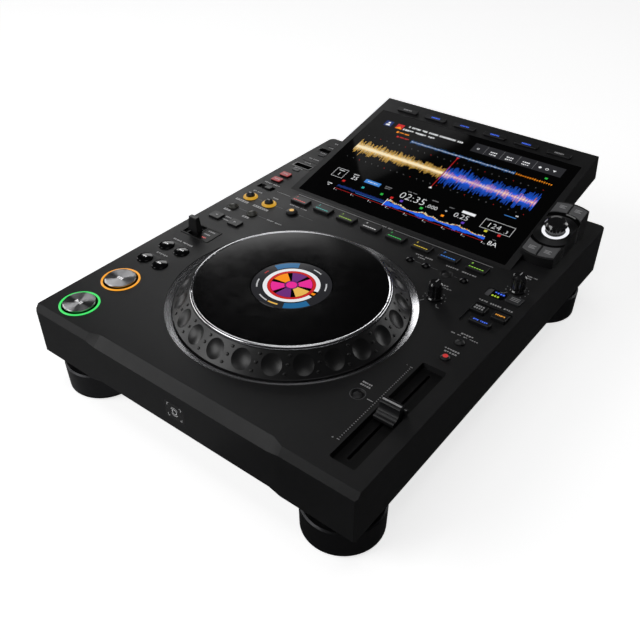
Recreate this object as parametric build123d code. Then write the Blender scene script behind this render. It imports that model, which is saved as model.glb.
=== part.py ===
from build123d import *
from math import asin, cos, pi, radians, sin, sqrt, tan
import os

os.makedirs("parts", exist_ok=True)

# ---- driving dimensions, mm ----
# Deck coordinates: x from the middle of the case, y back from the front edge of the deck, z up from the deck.
case_front = -4.4  # y of the front face
front_band = 26.8  # deck in front of the jog opening
side_band = 58.1  # deck beside the jog opening
list_band = 44.3  # deck between the jog opening and the display
back_band = 125.1  # deck from the display's front edge to the rear face
case_h = 47.0  # deck down to the lower rim
front_corner = 1.6  # upright front edges
rear_corner = 6.0  # upright rear edges
nose_drop = 5.6  # drop of the front slope at the ends
nose_set = 3.75  # set-back of the front slope in the middle
nose_deep = 7.8  # drop of the front slope in the middle
nose_half = 90.0  # half width of the middle slope
nose_ramp = 10.0  # length of the change from end slope to middle slope
relief_h = 3.0  # relief under the front edge
pan_inset = 7.0  # rim left round the base pan
pan_t = 2.0  # base pan thickness

foot_r = 32.6  # wide cylinder of a foot
foot_neck_in = 5.8  # neck of a foot, set in from the wide cylinder
foot_neck_h = 9.3
foot_wide_h = 25.6
foot_bevel = 1.3
foot_inset = 32.9  # foot axis from the side of the case
foot_front_y = 28.5
foot_back_in = 43.0  # rear foot axis from the rear face
pad_in = 2.3  # pad set in from the foot's edge
pad_t = 3.2
pad_sunk = 1.6

well_depth = 12.0  # jog opening in the deck
base_t = 4.0  # floor of the jog base
fit_gap = 0.1  # gap round pieces that are let in and fixed
post_r = 27.0  # fixed post that the jog turns on
post_step = 0.9  # top of the post under the round display
bearing_gap = 0.06  # radial running fit of turning and sliding pieces
running_gap = 0.35  # gap between turning and fixed faces that don't touch
hub_wall = 5.94
grip_w = 15.7  # dimpled ring of the jog wheel
grip_clear = 1.3  # jog wheel to the foot of the cone round it
cone_w = 5.5
cone_foot = 5.0  # upright foot of the cone
grip_over = 2.6  # lower edge of the jog wheel over the floor of the jog base
grip_edge = 1.2  # grip edge below the deck
rim_inner_r = 80.9
rim_w = 2.8
rim_top_z = 17.2
rim_deep = 8.2  # height of the bright rim
platter_drop = 0.9  # platter's outer edge below the rim
platter_dish = 1.1  # platter's fall towards its middle
platter_t = 10.3  # platter thickness at the rim
dimple_count = 24
dimple_in = 1.7  # slope left on each side of a dimple
dimple_ball_r = 20.0
screen_r = 34.2
screen_t = 3.0
screen_drop = 2.5  # round display below the rim

tilt = 12.5  # slope of the display
slab_len = 187.2
slab_more = 0.9  # display housing wider towards the selector
side_strip = 39.85  # deck left free on each side of the display
slab_back_t = 28.0
slab_land_in = 18.0  # underside leaves the deck this far before the rear face
slab_sunk = 2.6  # depth to which the display housing is let into the deck
glass_side = 7.25  # frame left beside the glass, on the left
glass_right = 6.95
glass_from = 3.9  # frame left in front of the glass
glass_back = 24.4  # frame left behind the glass
glass_t = 2.0
top_key_count = 6
top_key_w = 25.0
top_key_d = 6.0
top_key_pitch = 36.1
top_key_in = 8.3  # key row behind the glass

block_gap = 0.25  # selector housing to the display housing
block_lap = 3.6  # selector housing let into the side of the display housing
block_in = 12.2  # selector axis from the side of the display housing
block_from = 61.1  # selector axis behind the display's front edge
block_r = 39.4
block_w = 28.1  # beside the display housing
block_over = 3.9  # top of the selector housing over the display plane
dish_floor_r = 23.4  # round glossy field in the selector housing
dish_wall = 0.9
dish_depth = 0.8
well_deep = 1.8  # pocket for the light ring under that field
knob_foot_r = 8.7
knob_neck_r = 8.3
knob_r = 10.2
knob_h = 10.8
knob_lift = 1.6  # knob over the floor of its pocket
knob_neck_h = 3.8
knob_flutes = 10
knurl_count = 30
halo_gap = 0.6  # knob's lower edge to the light ring
halo_w = 2.9
shaft_r = 3.4  # shafts of the selector and of the dials
shaft_cover = 3.6  # knob material over the end of the selector shaft

key_gap = 0.3  # clearance round keys
key_travel = 1.0
key_root = 5.0  # length of a key below the deck
pad_gap = 0.6  # floor of a key opening below a pressed key

transport_in = 28.2  # play and cue axes from the side of the case
play_y = 20.5
cue_y = 64.8
transport_r = 13.6
transport_top = 2.2
transport_gap = 1.2  # clearance round play and cue
halo_land = 0.4  # wall between a key opening and its light ring
ring_w = 1.9  # light rings of play and cue
ring_t = 1.2

hot_count = 8
hot_pitch = 28.55
hot_x = 1.9
hot_in = 16.0  # hot cue row in front of the display
hot_w = 19.2
hot_d = 10.9
hot_top = 2.7

fader_in = 24.3  # fader axis from the side of the case
fader_mid_y = 72.8
fader_reach = 48.0
fader_low_in = 60.4  # front end of the fader recess from its middle
fader_high_in = 58.6  # rear end of the fader recess from its middle
fader_w = 21.0
fader_depth = 4.0
fader_slot_w = 2.2
fader_cap_in = 2.1  # cap to the side of its recess
fader_cap_low = -2.4
ridge_groove = 0.3
fader_stem = 7.0

lever_in = 21.4
lever_from = 29.8  # behind the jog's axis
lever_w = 9.4  # blade of the lever in the slot
lever_d = 3.0
lever_reach = 4.6
lever_top = 15.4
grip_foot_w = 12.6  # finger piece of the lever over the deck
grip_foot_d = 7.2
grip_foot_z = 1.3
grip_draft = 1.3  # finger piece narrower at its top, on each side
bezel_in = 28.0
bezel_w = 36.0
bezel_d = 21.7
bezel_t = 3.0
bezel_rim = 2.0
bezel_bar = 1.2  # bar between the lever's slot and the legend window
legend_w = 14.7

switch_in = 18.3
switch_front = 13.9  # in front of the display's front edge
switch_w = 20.2
switch_d = 8.0
switch_reach = 4.2
switch_rest = 3.0  # tab right of the middle of its recess
switch_sunk = 2.2

dial_r = 6.2
dial_h = 16.4
dial_skirt = 0.8  # foot of a dial wider than its grip
dial_root = 8.0
dial_grips = 8
dial_grip_r = 1.9
dial_grip_in = 0.8

port_depth = 15.0
port_wall = 1.2

rear_side = 14.5  # rear face left beside the socket panel
rear_low_in = 6.0  # rear face left under the socket panel
rear_high_in = 8.0  # rear face left over the socket panel
rear_t = 1.6

# ---- values that follow ----
T = radians(tilt)
foot_h = foot_neck_h + foot_wide_h + pad_t - pad_sunk
deck_z = case_h + foot_h
rim_outer_r = rim_inner_r + rim_w
grip_r = rim_outer_r + grip_w
cone_low_r = grip_r + grip_clear
cone_top_r = cone_low_r + cone_w
well_r = cone_top_r + 2 * fit_gap
jog_y = front_band + well_r
jog_back = jog_y + well_r
slab_y = jog_back + list_band
case_back = slab_y + back_band
case_w = 2 * (well_r + side_band)
full_back = slab_y + slab_len * cos(T) + slab_back_t * sin(T)
mid_y = (case_front + full_back) / 2
left = -case_w / 2
right = case_w / 2
foot_x = right - foot_inset
foot_rear_y = case_back - foot_back_in
pad_r = foot_r - pad_in

floor_z = base_t - well_depth
cone_low_z = floor_z + cone_foot
grip_low_z = floor_z + grip_over
rim_seat_z = rim_top_z - rim_deep
platter_top_z = rim_top_z - platter_drop
platter_inner_z = platter_top_z - platter_dish
screen_top_z = rim_top_z - screen_drop
screen_low = screen_top_z - screen_t
post_top = screen_low - post_step

slab_w = case_w - 2 * side_strip + slab_more
slab_left = left + side_strip
slab_right = slab_left + slab_w
slab_x = (slab_left + slab_right) / 2
slab_land_y = case_back - slab_land_in
glass_w = slab_w - glass_side - glass_right
glass_x = slab_left + glass_side + glass_w / 2
glass_len = slab_len - glass_from - glass_back
top_key_s = glass_from + glass_len + top_key_in
block_left = slab_right - block_lap
block_right = slab_right + block_w
block_x = slab_right + block_in
block_y = slab_y + block_from
halo_r = knob_foot_r + halo_gap + halo_w
dish_r = dish_floor_r + dish_wall

transport_x = left + transport_in
halo_inner = transport_r + transport_gap + halo_land
halo_outer = halo_inner + ring_w
hot_y = slab_y - hot_in
fader_x = right - fader_in
fader_low_y = fader_mid_y - fader_low_in
fader_high_y = fader_mid_y + fader_high_in
fader_cap_w = fader_w - 2 * fader_cap_in
lever_x = left + lever_in
bezel_x = left + bezel_in
lever_y = jog_y + lever_from
bezel_y = lever_y + 1.2
switch_x = left + switch_in
switch_y = slab_y - switch_front
rear_low = rear_low_in - case_h
rear_high = -rear_high_in


def at(x, y, z=0.0):
    """Place something at a point of the deck, z above the deck plane."""
    return Pos(x, y - mid_y, deck_z + z)


def on_slab(x, s, up=0.0):
    """Place something on the display plane, s along the slope from its front edge."""
    y = slab_y + s * cos(T) - up * sin(T)
    z = s * sin(T) + up * cos(T)
    return at(x, y, z) * Rot(tilt, 0, 0)


def prism(sketch, low, high):
    """A sketch in XY drawn out from low to high."""
    return Pos(0, 0, low) * extrude(sketch, high - low)


def spun(points):
    """A solid of revolution about Z from radius and height pairs."""
    face = make_face(Plane.XZ * Polyline(*points, close=True))
    return revolve(face, Axis.Z)


def along_x(points, length):
    """A YZ outline drawn out along X from the origin."""
    face = make_face(Plane.YZ * Polyline(*points, close=True))
    return extrude(face, length, dir=(1, 0, 0))


def side_prism(points, x0, x1):
    """A YZ outline drawn out along X, in deck coordinates."""
    return at(x0, 0) * along_x(points, x1 - x0)


def side_loft(points0, x0, points1, x1):
    """A YZ outline that changes into another along X, in deck coordinates."""
    a = at(x0, 0) * make_face(Plane.YZ * Polyline(*points0, close=True))
    b = at(x1, 0) * make_face(Plane.YZ * Polyline(*points1, close=True))
    return loft([a, b])


def top_edges(solid):
    """The edges round the highest flat face."""
    return solid.faces().sort_by(Axis.Z)[-1].edges()


def save(name, shape):
    """Write one node, whose solids keep their own places."""
    solids = shape.solids()
    body = solids[0] if len(solids) == 1 else Compound(children=list(solids))
    body.label = name
    export_step(body, f"parts/{name}.step")


# ---- keys of the deck ----
jump_w = 13.0
jump_d = 10.2
jump_top = 1.8
sync_w = 12.8
sync_d = 9.8
sync_top = 2.2
key_sync_w = 18.4
key_sync_d = 5.8
mode_w = 13.2
mode_d = 10.6
mode_top = 1.5
page_w = 11.4
page_d = 8.0
page_top = 2.0
stop_w = 8.2
stop_d = 4.2
stop_top = 0.8

# places: _in is the distance from the nearer side of the case, _y is measured back from the front edge
jump_back_in = 18.1
jump_fwd_in = 42.5
jump_front = 23.3  # in front of the beat loop keys
mode_in = 15.2
mode_from = 5.1  # behind the jog opening
beat_sync_in = 33.1
master_in = 14.1
sync_from = 83.0  # behind the jog's axis
key_sync_in = 23.9
key_sync_front = 15.9  # in front of the other two sync keys
page_in = 17.2
page_from = 5.0  # behind the display's front edge
page_pitch = 14.3
stop_1_in = 18.1
stop_2_in = 18.6
stop_1_front = 11.7  # in front of its port
stop_2_front = 11.1

skip_back_in = 19.0
skip_fwd_in = 38.3
search_front = 31.8  # in front of the jog's axis
track_front = 5.1
loop_near_in = 18.7
loop_far_in = 43.4
reloop_in = 72.9
row_from = 5.4  # key row behind the jog opening
beat_loop_front = 25.9  # beat loop keys in front of that row
call_1_in = 118.5
call_2_in = 101.9
delete_in = 80.9
memory_in = 63.5
tempo_in = 24.2
tempo_range_from = 35.2  # behind the jog's axis
master_tempo_from = 12.6
reset_in = 54.0
row_y = jog_back + row_from
search_y = jog_y - search_front
track_y = jog_y - track_front
beat_loop_y = row_y - beat_loop_front
jump_y = beat_loop_y - jump_front
sync_y = jog_y + sync_from
tempo_range_y = jog_y + tempo_range_from
master_tempo_y = jog_y + master_tempo_from

# name, x, y, width, depth, height over the deck
square_keys = [
    ("beat_jump_back_key", left + jump_back_in, jump_y, jump_w, jump_d, jump_top),
    ("beat_jump_fwd_key", left + jump_fwd_in, jump_y, jump_w, jump_d, jump_top),
    ("jog_mode_key", right - mode_in, jog_back + mode_from, mode_w, mode_d, mode_top),
    ("beat_sync_key", right - beat_sync_in, sync_y, sync_w, sync_d, sync_top),
    ("master_key", right - master_in, sync_y, sync_w, sync_d, sync_top),
    ("key_sync_key", right - key_sync_in, sync_y - key_sync_front, key_sync_w, key_sync_d, sync_top),
]
for i in range(hot_count):
    x = hot_x + (i - (hot_count - 1) / 2) * hot_pitch
    square_keys.append((f"hot_cue_{'abcdefgh'[i]}", x, hot_y, hot_w, hot_d, hot_top))
page_spots = [slab_y + page_from, slab_y + page_from + page_pitch]
page_keys = [(left + page_in, y, page_w, page_d, page_top) for y in page_spots]

search_dia = 14.4
search_edge = 1.2
search_crown = 2.2
beat_dia = 10.4
beat_edge = 1.2
beat_crown = 3.2
reloop_dia = 11.8
reloop_edge = 2.2
reloop_crown = 3.3
loop_dia = 8.8
loop_edge = 3.4
loop_crown = 5.0
small_dia = 7.6
small_edge = 1.2
small_crown = 2.3
flush_dia = 8.0
flush_edge = -0.9
flush_crown = -0.3

# name, x, y, diameter, height of the edge, height of the crown
round_keys = [
    ("search_back_key", left + skip_back_in, search_y, search_dia, search_edge, search_crown),
    ("search_fwd_key", left + skip_fwd_in, search_y, search_dia, search_edge, search_crown),
    ("track_back_key", left + skip_back_in, track_y, search_dia, search_edge, search_crown),
    ("track_fwd_key", left + skip_fwd_in, track_y, search_dia, search_edge, search_crown),
    ("beat_loop_half_key", left + loop_near_in, beat_loop_y, beat_dia, beat_edge, beat_crown),
    ("beat_loop_double_key", left + loop_far_in, beat_loop_y, beat_dia, beat_edge, beat_crown),
    ("loop_in_key", left + loop_near_in, row_y, loop_dia, loop_edge, loop_crown),
    ("loop_out_key", left + loop_far_in, row_y, loop_dia, loop_edge, loop_crown),
    ("reloop_key", left + reloop_in, row_y, reloop_dia, reloop_edge, reloop_crown),
    ("delete_key", right - delete_in, row_y, flush_dia, flush_edge, flush_crown),
    ("memory_key", right - memory_in, row_y, small_dia, small_edge, small_crown),
    ("tempo_range_key", right - tempo_in, tempo_range_y, small_dia, small_edge, small_crown),
    ("master_tempo_key", right - tempo_in, master_tempo_y, small_dia, small_edge, small_crown),
    ("tempo_reset_key", right - reset_in, fader_mid_y, flush_dia, flush_edge, flush_crown),
]
call_spots = [right - call_1_in, right - call_2_in]
call_keys = [(x, row_y, small_dia, small_edge, small_crown) for x in call_spots]
flush_spots = [(x, y) for name, x, y, dia, edge, crown in round_keys if edge < 0]
loop_spots = [(x, y) for name, x, y, dia, edge, crown in round_keys if name.startswith("loop")]
loop_ring_w = 2.5
loop_ring_h = 2.0  # light ring of a loop key over the deck
loop_ring_inner = loop_dia / 2 + key_gap + halo_land
loop_ring_outer = loop_ring_inner + loop_ring_w
sunk_ring_w = 1.7
sunk_ring_r = flush_dia / 2 + key_gap + sunk_ring_w
jog_feel_in = 70.9
jog_feel_from = 74.8  # behind the jog's axis
stop_speed_in = 20.1
stop_speed_from = 20.4  # behind the jog opening
dials = [
    ("jog_feel_knob", right - jog_feel_in, jog_y + jog_feel_from),
    ("stop_speed_knob", right - stop_speed_in, jog_back + stop_speed_from),
]
port_1_in = 18.4
port_1_from = 47.2  # behind the display's front edge
port_1_w = 21.2
port_2_in = 14.9
port_2_from = 91.8
port_2_w = 15.4
port_d = 7.4
port_lid = 13.0  # joint line of the lid behind a port, from the port's middle
lid_groove = 0.7
port_1_y = slab_y + port_1_from
port_2_y = slab_y + port_2_from
ports = [(left + port_1_in, port_1_y, port_1_w, port_d), (left + port_2_in, port_2_y, port_2_w, port_d)]
stop_keys = [
    (left + stop_1_in, port_1_y - stop_1_front, stop_w, stop_d, stop_top),
    (left + stop_2_in, port_2_y - stop_2_front, stop_w, stop_d, stop_top),
]
# x, y, width, depth, sunk by
sync_pad = (right - 23.2, sync_y - 6.9, 33.8, 32.0, 1.2)
mode_plate = (right - 32.3, jog_back + 4.9, 18.0, 12.4, 0.8)


def square_key(w, d, top):
    """A flat key with eased top edges and a root that guides it."""
    body = prism(RectangleRounded(w, d, 0.9), -key_root, top)
    return chamfer(top_edges(body), 0.35)


def round_key(dia, edge, crown):
    """A round key whose top is a shallow dome from edge height to crown height."""
    r = dia / 2
    rim = r - 0.5
    rise = crown - edge
    ball = (rim**2 + rise**2) / (2 * rise)
    half = asin(rim / ball) / 2
    profile = Polyline((0, crown), (0, -key_root), (r, -key_root), (r, edge - 0.4), (rim, edge))
    dome = ThreePointArc((rim, edge), (ball * sin(half), crown - ball + ball * cos(half)), (0, crown))
    face = make_face(Plane.XZ * (Curve() + [profile, dome]))
    return revolve(face, Axis.Z)


def square_hole(w, d):
    floor = key_root + key_travel + pad_gap
    return prism(RectangleRounded(w + 2 * key_gap, d + 2 * key_gap, 1.2), -floor, 1)


def round_hole(dia):
    floor = key_root + key_travel + pad_gap
    return prism(Circle(dia / 2 + key_gap), -floor, 1)


# ---- upper case ----
plan_d = case_back - case_front
plan = Rectangle(case_w, plan_d)
front_v = plan.vertices().group_by(Axis.Y)[0]
rear_v = plan.vertices().group_by(Axis.Y)[-1]
plan = chamfer(front_v, front_corner)
plan = fillet(plan.vertices().group_by(Axis.Y)[-1], rear_corner)
case = at(0, (case_front + case_back) / 2) * prism(plan, -case_h, 0)

out = case_front - 2
end_slope = [(0, 0), (0, 2), (out, 2), (out, -nose_drop * out / case_front)]
deep_run = (nose_set - out) / (nose_set - case_front)
mid_slope = [(nose_set, 0), (nose_set, 2), (out, 2), (out, -nose_deep * deep_run)]
reach = case_w / 2 + 2
ramp_at = nose_half + nose_ramp
case -= side_prism(end_slope, -reach, reach)
case -= side_prism(mid_slope, -nose_half, nose_half)
case -= side_loft(end_slope, -ramp_at, mid_slope, -nose_half)
case -= side_loft(mid_slope, nose_half, end_slope, ramp_at)

relief = Polygon(
    (-ramp_at, -case_h), (-nose_half, relief_h - case_h), (nose_half, relief_h - case_h), (ramp_at, -case_h),
    (ramp_at, -case_h - 2), (-ramp_at, -case_h - 2), align=None,
)
case -= at(0, case_front + 5) * extrude(Plane.XZ * relief, 7, dir=(0, -1, 0))

pan_plan = Rectangle(case_w - 2 * pan_inset, plan_d - 2 * pan_inset)
pan_plan = fillet(pan_plan.vertices(), rear_corner - 2)
pan_place = at(0, (case_front + case_back) / 2)
case -= pan_place * prism(pan_plan, -case_h - 1, -case_h + pan_t)
base_pan = pan_place * prism(offset(pan_plan, -2 * fit_gap), -case_h, -case_h + pan_t)

case -= at(0, jog_y) * prism(Circle(well_r), -well_depth, 1)

fader_mid = (fader_low_y + fader_high_y) / 2
fader_len = fader_high_y - fader_low_y
fader_cut = extrude(RectangleRounded(fader_w, fader_len, 1.6), -fader_depth, taper=18)
case -= at(fader_x, fader_mid) * fader_cut
slot_len = 2 * fader_reach + fader_stem + 1.2
case -= at(fader_x - 0.6, fader_mid_y) * prism(RectangleRounded(fader_slot_w, slot_len, 1.0), -14, 0)

for name, x, y, w, d, top in square_keys:
    case -= at(x, y) * square_hole(w, d)
for x, y, w, d, top in page_keys + stop_keys:
    case -= at(x, y) * square_hole(w, d)
for name, x, y, dia, edge, crown in round_keys:
    case -= at(x, y) * round_hole(dia)
for x, y, dia, edge, crown in call_keys:
    case -= at(x, y) * round_hole(dia)
for x, y in flush_spots:
    case -= at(x, y) * spun([(0, 1), (0, -1.3), (sunk_ring_r - 1.2, -1.3), (sunk_ring_r, 0), (sunk_ring_r, 1)])
for x, y in [(transport_x, play_y), (transport_x, cue_y)]:
    case -= at(x, y) * round_hole(2 * (transport_r + transport_gap - key_gap))
    case -= at(x, y) * prism(Circle(halo_outer) - Circle(halo_inner), -ring_t, 1)
for x, y in loop_spots:
    case -= at(x, y) * prism(Circle(loop_ring_outer) - Circle(loop_ring_inner), -ring_t, 1)
for name, x, y in dials:
    case -= at(x, y) * prism(Circle(shaft_r + bearing_gap), -dial_root - 0.4, 1)
px, py, pw, pd, sunk = sync_pad
case -= at(px, py) * prism(RectangleRounded(pw, pd, 2.0), -sunk, 1)
px, py, pw, pd, sunk = mode_plate
case -= at(px, py) * prism(RectangleRounded(pw, pd, 3.2), -sunk, 1)
bezel_hole = RectangleRounded(bezel_w + 2 * fit_gap, bezel_d + 2 * fit_gap, 1.4)
case -= at(bezel_x, bezel_y) * prism(bezel_hole, -bezel_t, 1)
lever_hole_w = lever_w + 0.8
lever_hole_d = lever_d + 2 * lever_reach + 0.8
lever_root = 9.8
case -= at(lever_x, lever_y) * prism(Rectangle(lever_hole_w, lever_hole_d), -lever_root - 0.6, 0)
tab_w = 7.6
tab_d = 5.6
tab_top = 1.6
pin_w = 3.0
pin_d = 2.0
pin_root = 6.0
case -= at(switch_x, switch_y) * prism(RectangleRounded(switch_w, switch_d, 0.8), -switch_sunk, 1)
pin_slot = Rectangle(pin_w + 2 * switch_reach + 0.8, pin_d + 0.8)
case -= at(switch_x, switch_y) * prism(pin_slot, -pin_root - 0.4, 0)
seat_mid = (slab_y + slab_land_y) / 2
seat_d = slab_land_y - slab_y
case -= at(slab_x, seat_mid) * prism(Rectangle(slab_w + 2 * fit_gap, seat_d + 2 * fit_gap), -slab_sunk, 1)
port_low = -port_depth - 1.4
for x, y, w, d in ports:
    hole = Rectangle(w + 2 * port_wall + 2 * fit_gap, d + 2 * port_wall + 2 * fit_gap)
    case -= at(x, y) * prism(hole, port_low, 1)
    case -= at(x, y + port_lid) * prism(Rectangle(w, lid_groove), -lid_groove, 1)

# ---- rear face: panel recess and pockets behind it ----
rear_mid = (rear_low + rear_high) / 2
rear_tall = rear_high - rear_low
rear_w = case_w - 2 * rear_side
inlet_in = 52.5
rocker_in = 98.5
data_x = 14.0  # network and square data socket, each side of the middle
phono_1_in = 98.5
phono_2_in = 78.5
phono_3_in = 48.5
# x, width, height, depth
inlet = (right - inlet_in, 27.6, 20.0, 17.0)
lan = (-data_x, 16.4, 13.6, 15.0)
usb_b = (data_x, 12.4, 11.4, 14.0)
rocker = (right - rocker_in, 20.0, 13.6, 15.0)
phono_x = (left + phono_1_in, left + phono_2_in, left + phono_3_in)
phono_r = 4.15
phono_len = 8.6
phono_flange = 6.6
phono_flange_t = 3.2
phono_in = 2.4  # back of the flange, inward from the rear face
phono_bore_r = 1.7
lock_x = left + 25.5
lock_w = 7.0
lock_h = 3.2


def rear_block(x, w, h, front, back):
    """A block on the rear face between two depths measured inward from it."""
    return at(x, case_back - (front + back) / 2, rear_mid) * Box(w, back - front, h)


case -= at(0, case_back - rear_t / 2, rear_mid) * Box(rear_w, rear_t, rear_tall)
rear = at(0, case_back - rear_t / 2, rear_mid) * Box(rear_w - 4 * fit_gap, rear_t, rear_tall - 4 * fit_gap)
for x, w, h, depth in (inlet, lan, usb_b):
    case -= rear_block(x, w + 2 * fit_gap, h + 2 * fit_gap, 0, depth)
    rear -= rear_block(x, w + 2 * fit_gap, h + 2 * fit_gap, -1, rear_t + 1)
rx, rw, rh, rdepth = rocker
case -= rear_block(rx, rw + 0.4, rh + 0.4, 0, rdepth + 0.6)
rear -= rear_block(rx, rw + 0.4, rh + 0.4, -1, rear_t + 1)
for x in phono_x:
    hole = at(x, case_back - phono_in, rear_mid) * Rot(-90, 0, 0) * prism(Circle(phono_flange + fit_gap), 0, 6)
    case -= hole
    rear -= hole
rear -= rear_block(lock_x, lock_w, lock_h, -1, rear_t + 1)
case -= rear_block(lock_x, lock_w, lock_h, 0, 8)
save("rear_panel", rear)

# ---- rear sockets ----
sockets = []


def socket_shell(spec, wall, front, hole_w, hole_h, hole_depth):
    x, w, h, depth = spec
    shell = rear_block(x, w, h, front, depth)
    return shell - rear_block(x, hole_w, hole_h, front - 1, front + hole_depth)


inlet_x, inlet_w, inlet_h, inlet_d = inlet
shell = socket_shell(inlet, 1.6, -1.2, inlet_w - 3.4, inlet_h - 3.6, 15.0)
for dx, dz in [(-7.0, -1.4), (0.0, 2.8), (7.0, -1.4)]:
    shell += at(inlet_x + dx, case_back - 9.0, rear_mid + dz) * Box(2.0, 11.0, 4.2)
sockets.append(shell)
sockets.append(socket_shell(lan, 1.2, -0.6, 11.8, 9.4, 12.5))
shell = socket_shell(usb_b, 1.2, -0.6, 8.6, 7.8, 11.5)
shell += at(usb_b[0], case_back - 7.0, rear_mid) * Box(5.4, 9.4, 2.6)
sockets.append(shell)
for x in phono_x:
    tip = phono_flange_t + phono_len
    ring = [
        (0, 0), (phono_flange, 0), (phono_flange, phono_flange_t), (phono_r, phono_flange_t),
        (phono_r, tip), (phono_bore_r, tip), (phono_bore_r, 4.0), (0, 4.0),
    ]
    jack = at(x, case_back - phono_in, rear_mid) * Rot(-90, 0, 0) * spun(ring)
    sockets.append(jack)
save("rear_sockets", Compound(children=sockets))

# ---- power rocker, turns about X ----
rock_in = 4.0
rock_tilt = 8.0
face_pts = [(-6.0, -4.4), (4.2, -5.9), (5.1, -5.2), (4.2, 0.0), (5.1, 5.2), (4.2, 5.9), (-6.0, 4.4)]
rock = Rot(0, 90, 0) * Cylinder(2.6, rw - 0.6)
rock += Pos(-(rw - 0.8) / 2, 0, 0) * along_x(face_pts, rw - 0.8)
save("power_switch", at(rx, case_back - rock_in, rear_mid) * Rot(-rock_tilt, 0, 0) * rock)

# ---- feet and pads ----
feet = []
pads = []
foot_top = -case_h
foot_neck_r = foot_r - foot_neck_in
for x in (-foot_x, foot_x):
    for y in (foot_front_y, foot_rear_y):
        z1 = foot_top - foot_neck_h
        z2 = z1 - foot_wide_h
        pts = [
            (0, foot_top), (foot_neck_r, foot_top), (foot_neck_r, z1), (foot_r - foot_bevel, z1),
            (foot_r, z1 - foot_bevel), (foot_r - 0.5, z2 + 0.8), (foot_r - 1.1, z2),
            (pad_r, z2), (pad_r, z2 + pad_sunk), (0, z2 + pad_sunk),
        ]
        feet.append(at(x, y) * spun(pts))
        p2 = z2 + pad_sunk
        pad = [(0, p2), (pad_r - 0.1, p2), (pad_r - 0.1, p2 - pad_t + 0.5)]
        pad += [(pad_r - 0.6, p2 - pad_t), (0, p2 - pad_t)]
        pads.append(at(x, y) * spun(pad))
save("feet", Compound(children=feet))
save("foot_pads", Compound(children=pads))
save("base_pan", base_pan)
save("top_case", case)

# ---- jog base: cone, floor and bearing post ----
base = spun([
    (0, -well_depth), (cone_top_r, -well_depth), (cone_top_r, -0.3), (cone_low_r, cone_low_z),
    (cone_low_r, floor_z), (post_r, floor_z), (post_r, post_top), (0, post_top),
])
save("jog_base", at(0, jog_y) * base)
stand_r = post_r - 7.0
stand = spun([
    (0, post_top), (stand_r, post_top), (stand_r, screen_low), (screen_r, screen_low),
    (screen_r, screen_top_z - 0.6),
    (screen_r - 0.6, screen_top_z), (0, screen_top_z),
])
save("jog_display", at(0, jog_y) * stand)

# ---- jog wheel ----
bore_r = post_r + bearing_gap
hub_r = bore_r + hub_wall
platter_low = platter_top_z - platter_t
hub_low = floor_z + running_gap
under = screen_low - running_gap
platter = spun([
    (bore_r, hub_low), (hub_r, hub_low), (hub_r, platter_low), (rim_inner_r, platter_low),
    (rim_inner_r, platter_top_z),
    (screen_r + running_gap, platter_inner_z), (screen_r + running_gap, under), (bore_r, under),
])
save("jog_platter", at(0, jog_y) * platter)
rim_mid = (rim_inner_r + rim_outer_r) / 2
rim_in_z = rim_top_z - 0.8
rim_out_z = rim_top_z - 3.0
rim_face = make_face(Plane.XZ * (Curve() + [
    Polyline((rim_inner_r, rim_in_z), (rim_inner_r, rim_seat_z), (rim_outer_r, rim_seat_z), (rim_outer_r, rim_out_z)),
    ThreePointArc((rim_outer_r, rim_out_z), (rim_mid + 0.7, rim_top_z - 0.55), (rim_inner_r, rim_in_z)),
]))
save("jog_rim", at(0, jog_y) * revolve(rim_face, Axis.Z))
slope_in_r = rim_outer_r + 0.5
slope_in_z = rim_top_z - 3.2
slope_out_r = grip_r - 0.7
slope_out_z = 0.7 - grip_edge
grip = spun([
    (rim_inner_r, grip_low_z), (grip_r, grip_low_z), (grip_r, -grip_edge), (slope_out_r, slope_out_z),
    (slope_in_r, slope_in_z), (rim_outer_r, slope_in_z), (rim_outer_r, rim_seat_z), (rim_inner_r, rim_seat_z),
])
slope_dr = slope_out_r - slope_in_r
slope_dz = slope_in_z - slope_out_z
slope_len = sqrt(slope_dr**2 + slope_dz**2)
dimple_d = slope_len - 2 * dimple_in
dimple_pitch_r = (slope_out_r + slope_in_r) / 2 + 0.2
pitch_z = slope_out_z + (slope_out_r - dimple_pitch_r) / slope_dr * slope_dz
lift = sqrt(dimple_ball_r**2 - (dimple_d / 2) ** 2)
ball_r = dimple_pitch_r + lift * slope_dz / slope_len
ball_z = pitch_z + lift * slope_dr / slope_len
for i in range(dimple_count):
    a = radians(-135.3 + i * 360 / dimple_count)
    grip -= Pos(ball_r * cos(a), ball_r * sin(a), ball_z) * Sphere(dimple_ball_r)
save("jog_grip", at(0, jog_y) * grip)

# ---- display housing and glass ----
back_top = (slab_y + slab_len * cos(T), slab_len * sin(T))
back_low = (back_top[0] + slab_back_t * sin(T), back_top[1] - slab_back_t * cos(T))
outline = [(slab_y, -slab_sunk), (slab_y, 0.0), back_top, back_low]
outline += [(slab_land_y, 0.0), (slab_land_y, -slab_sunk)]
slab = side_prism(outline, slab_left, slab_right)
slab = chamfer(slab.edges().filter_by(Axis.X).sort_by(Axis.Z)[-1:], 1.0)
glass_mid = glass_from + glass_len / 2
glass_sunk = 0.1
glass_low = -glass_t - glass_sunk
slab -= on_slab(glass_x, glass_mid) * prism(RectangleRounded(glass_w, glass_len, 1.0), glass_low, 2)
glass_plan = RectangleRounded(glass_w - 2 * fit_gap, glass_len - 2 * fit_gap, 0.9)
glass = on_slab(glass_x, glass_mid) * prism(glass_plan, glass_low, -glass_sunk)
top_key_root = 3.2
top_key_top = 2.1
top_keys = []
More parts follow.
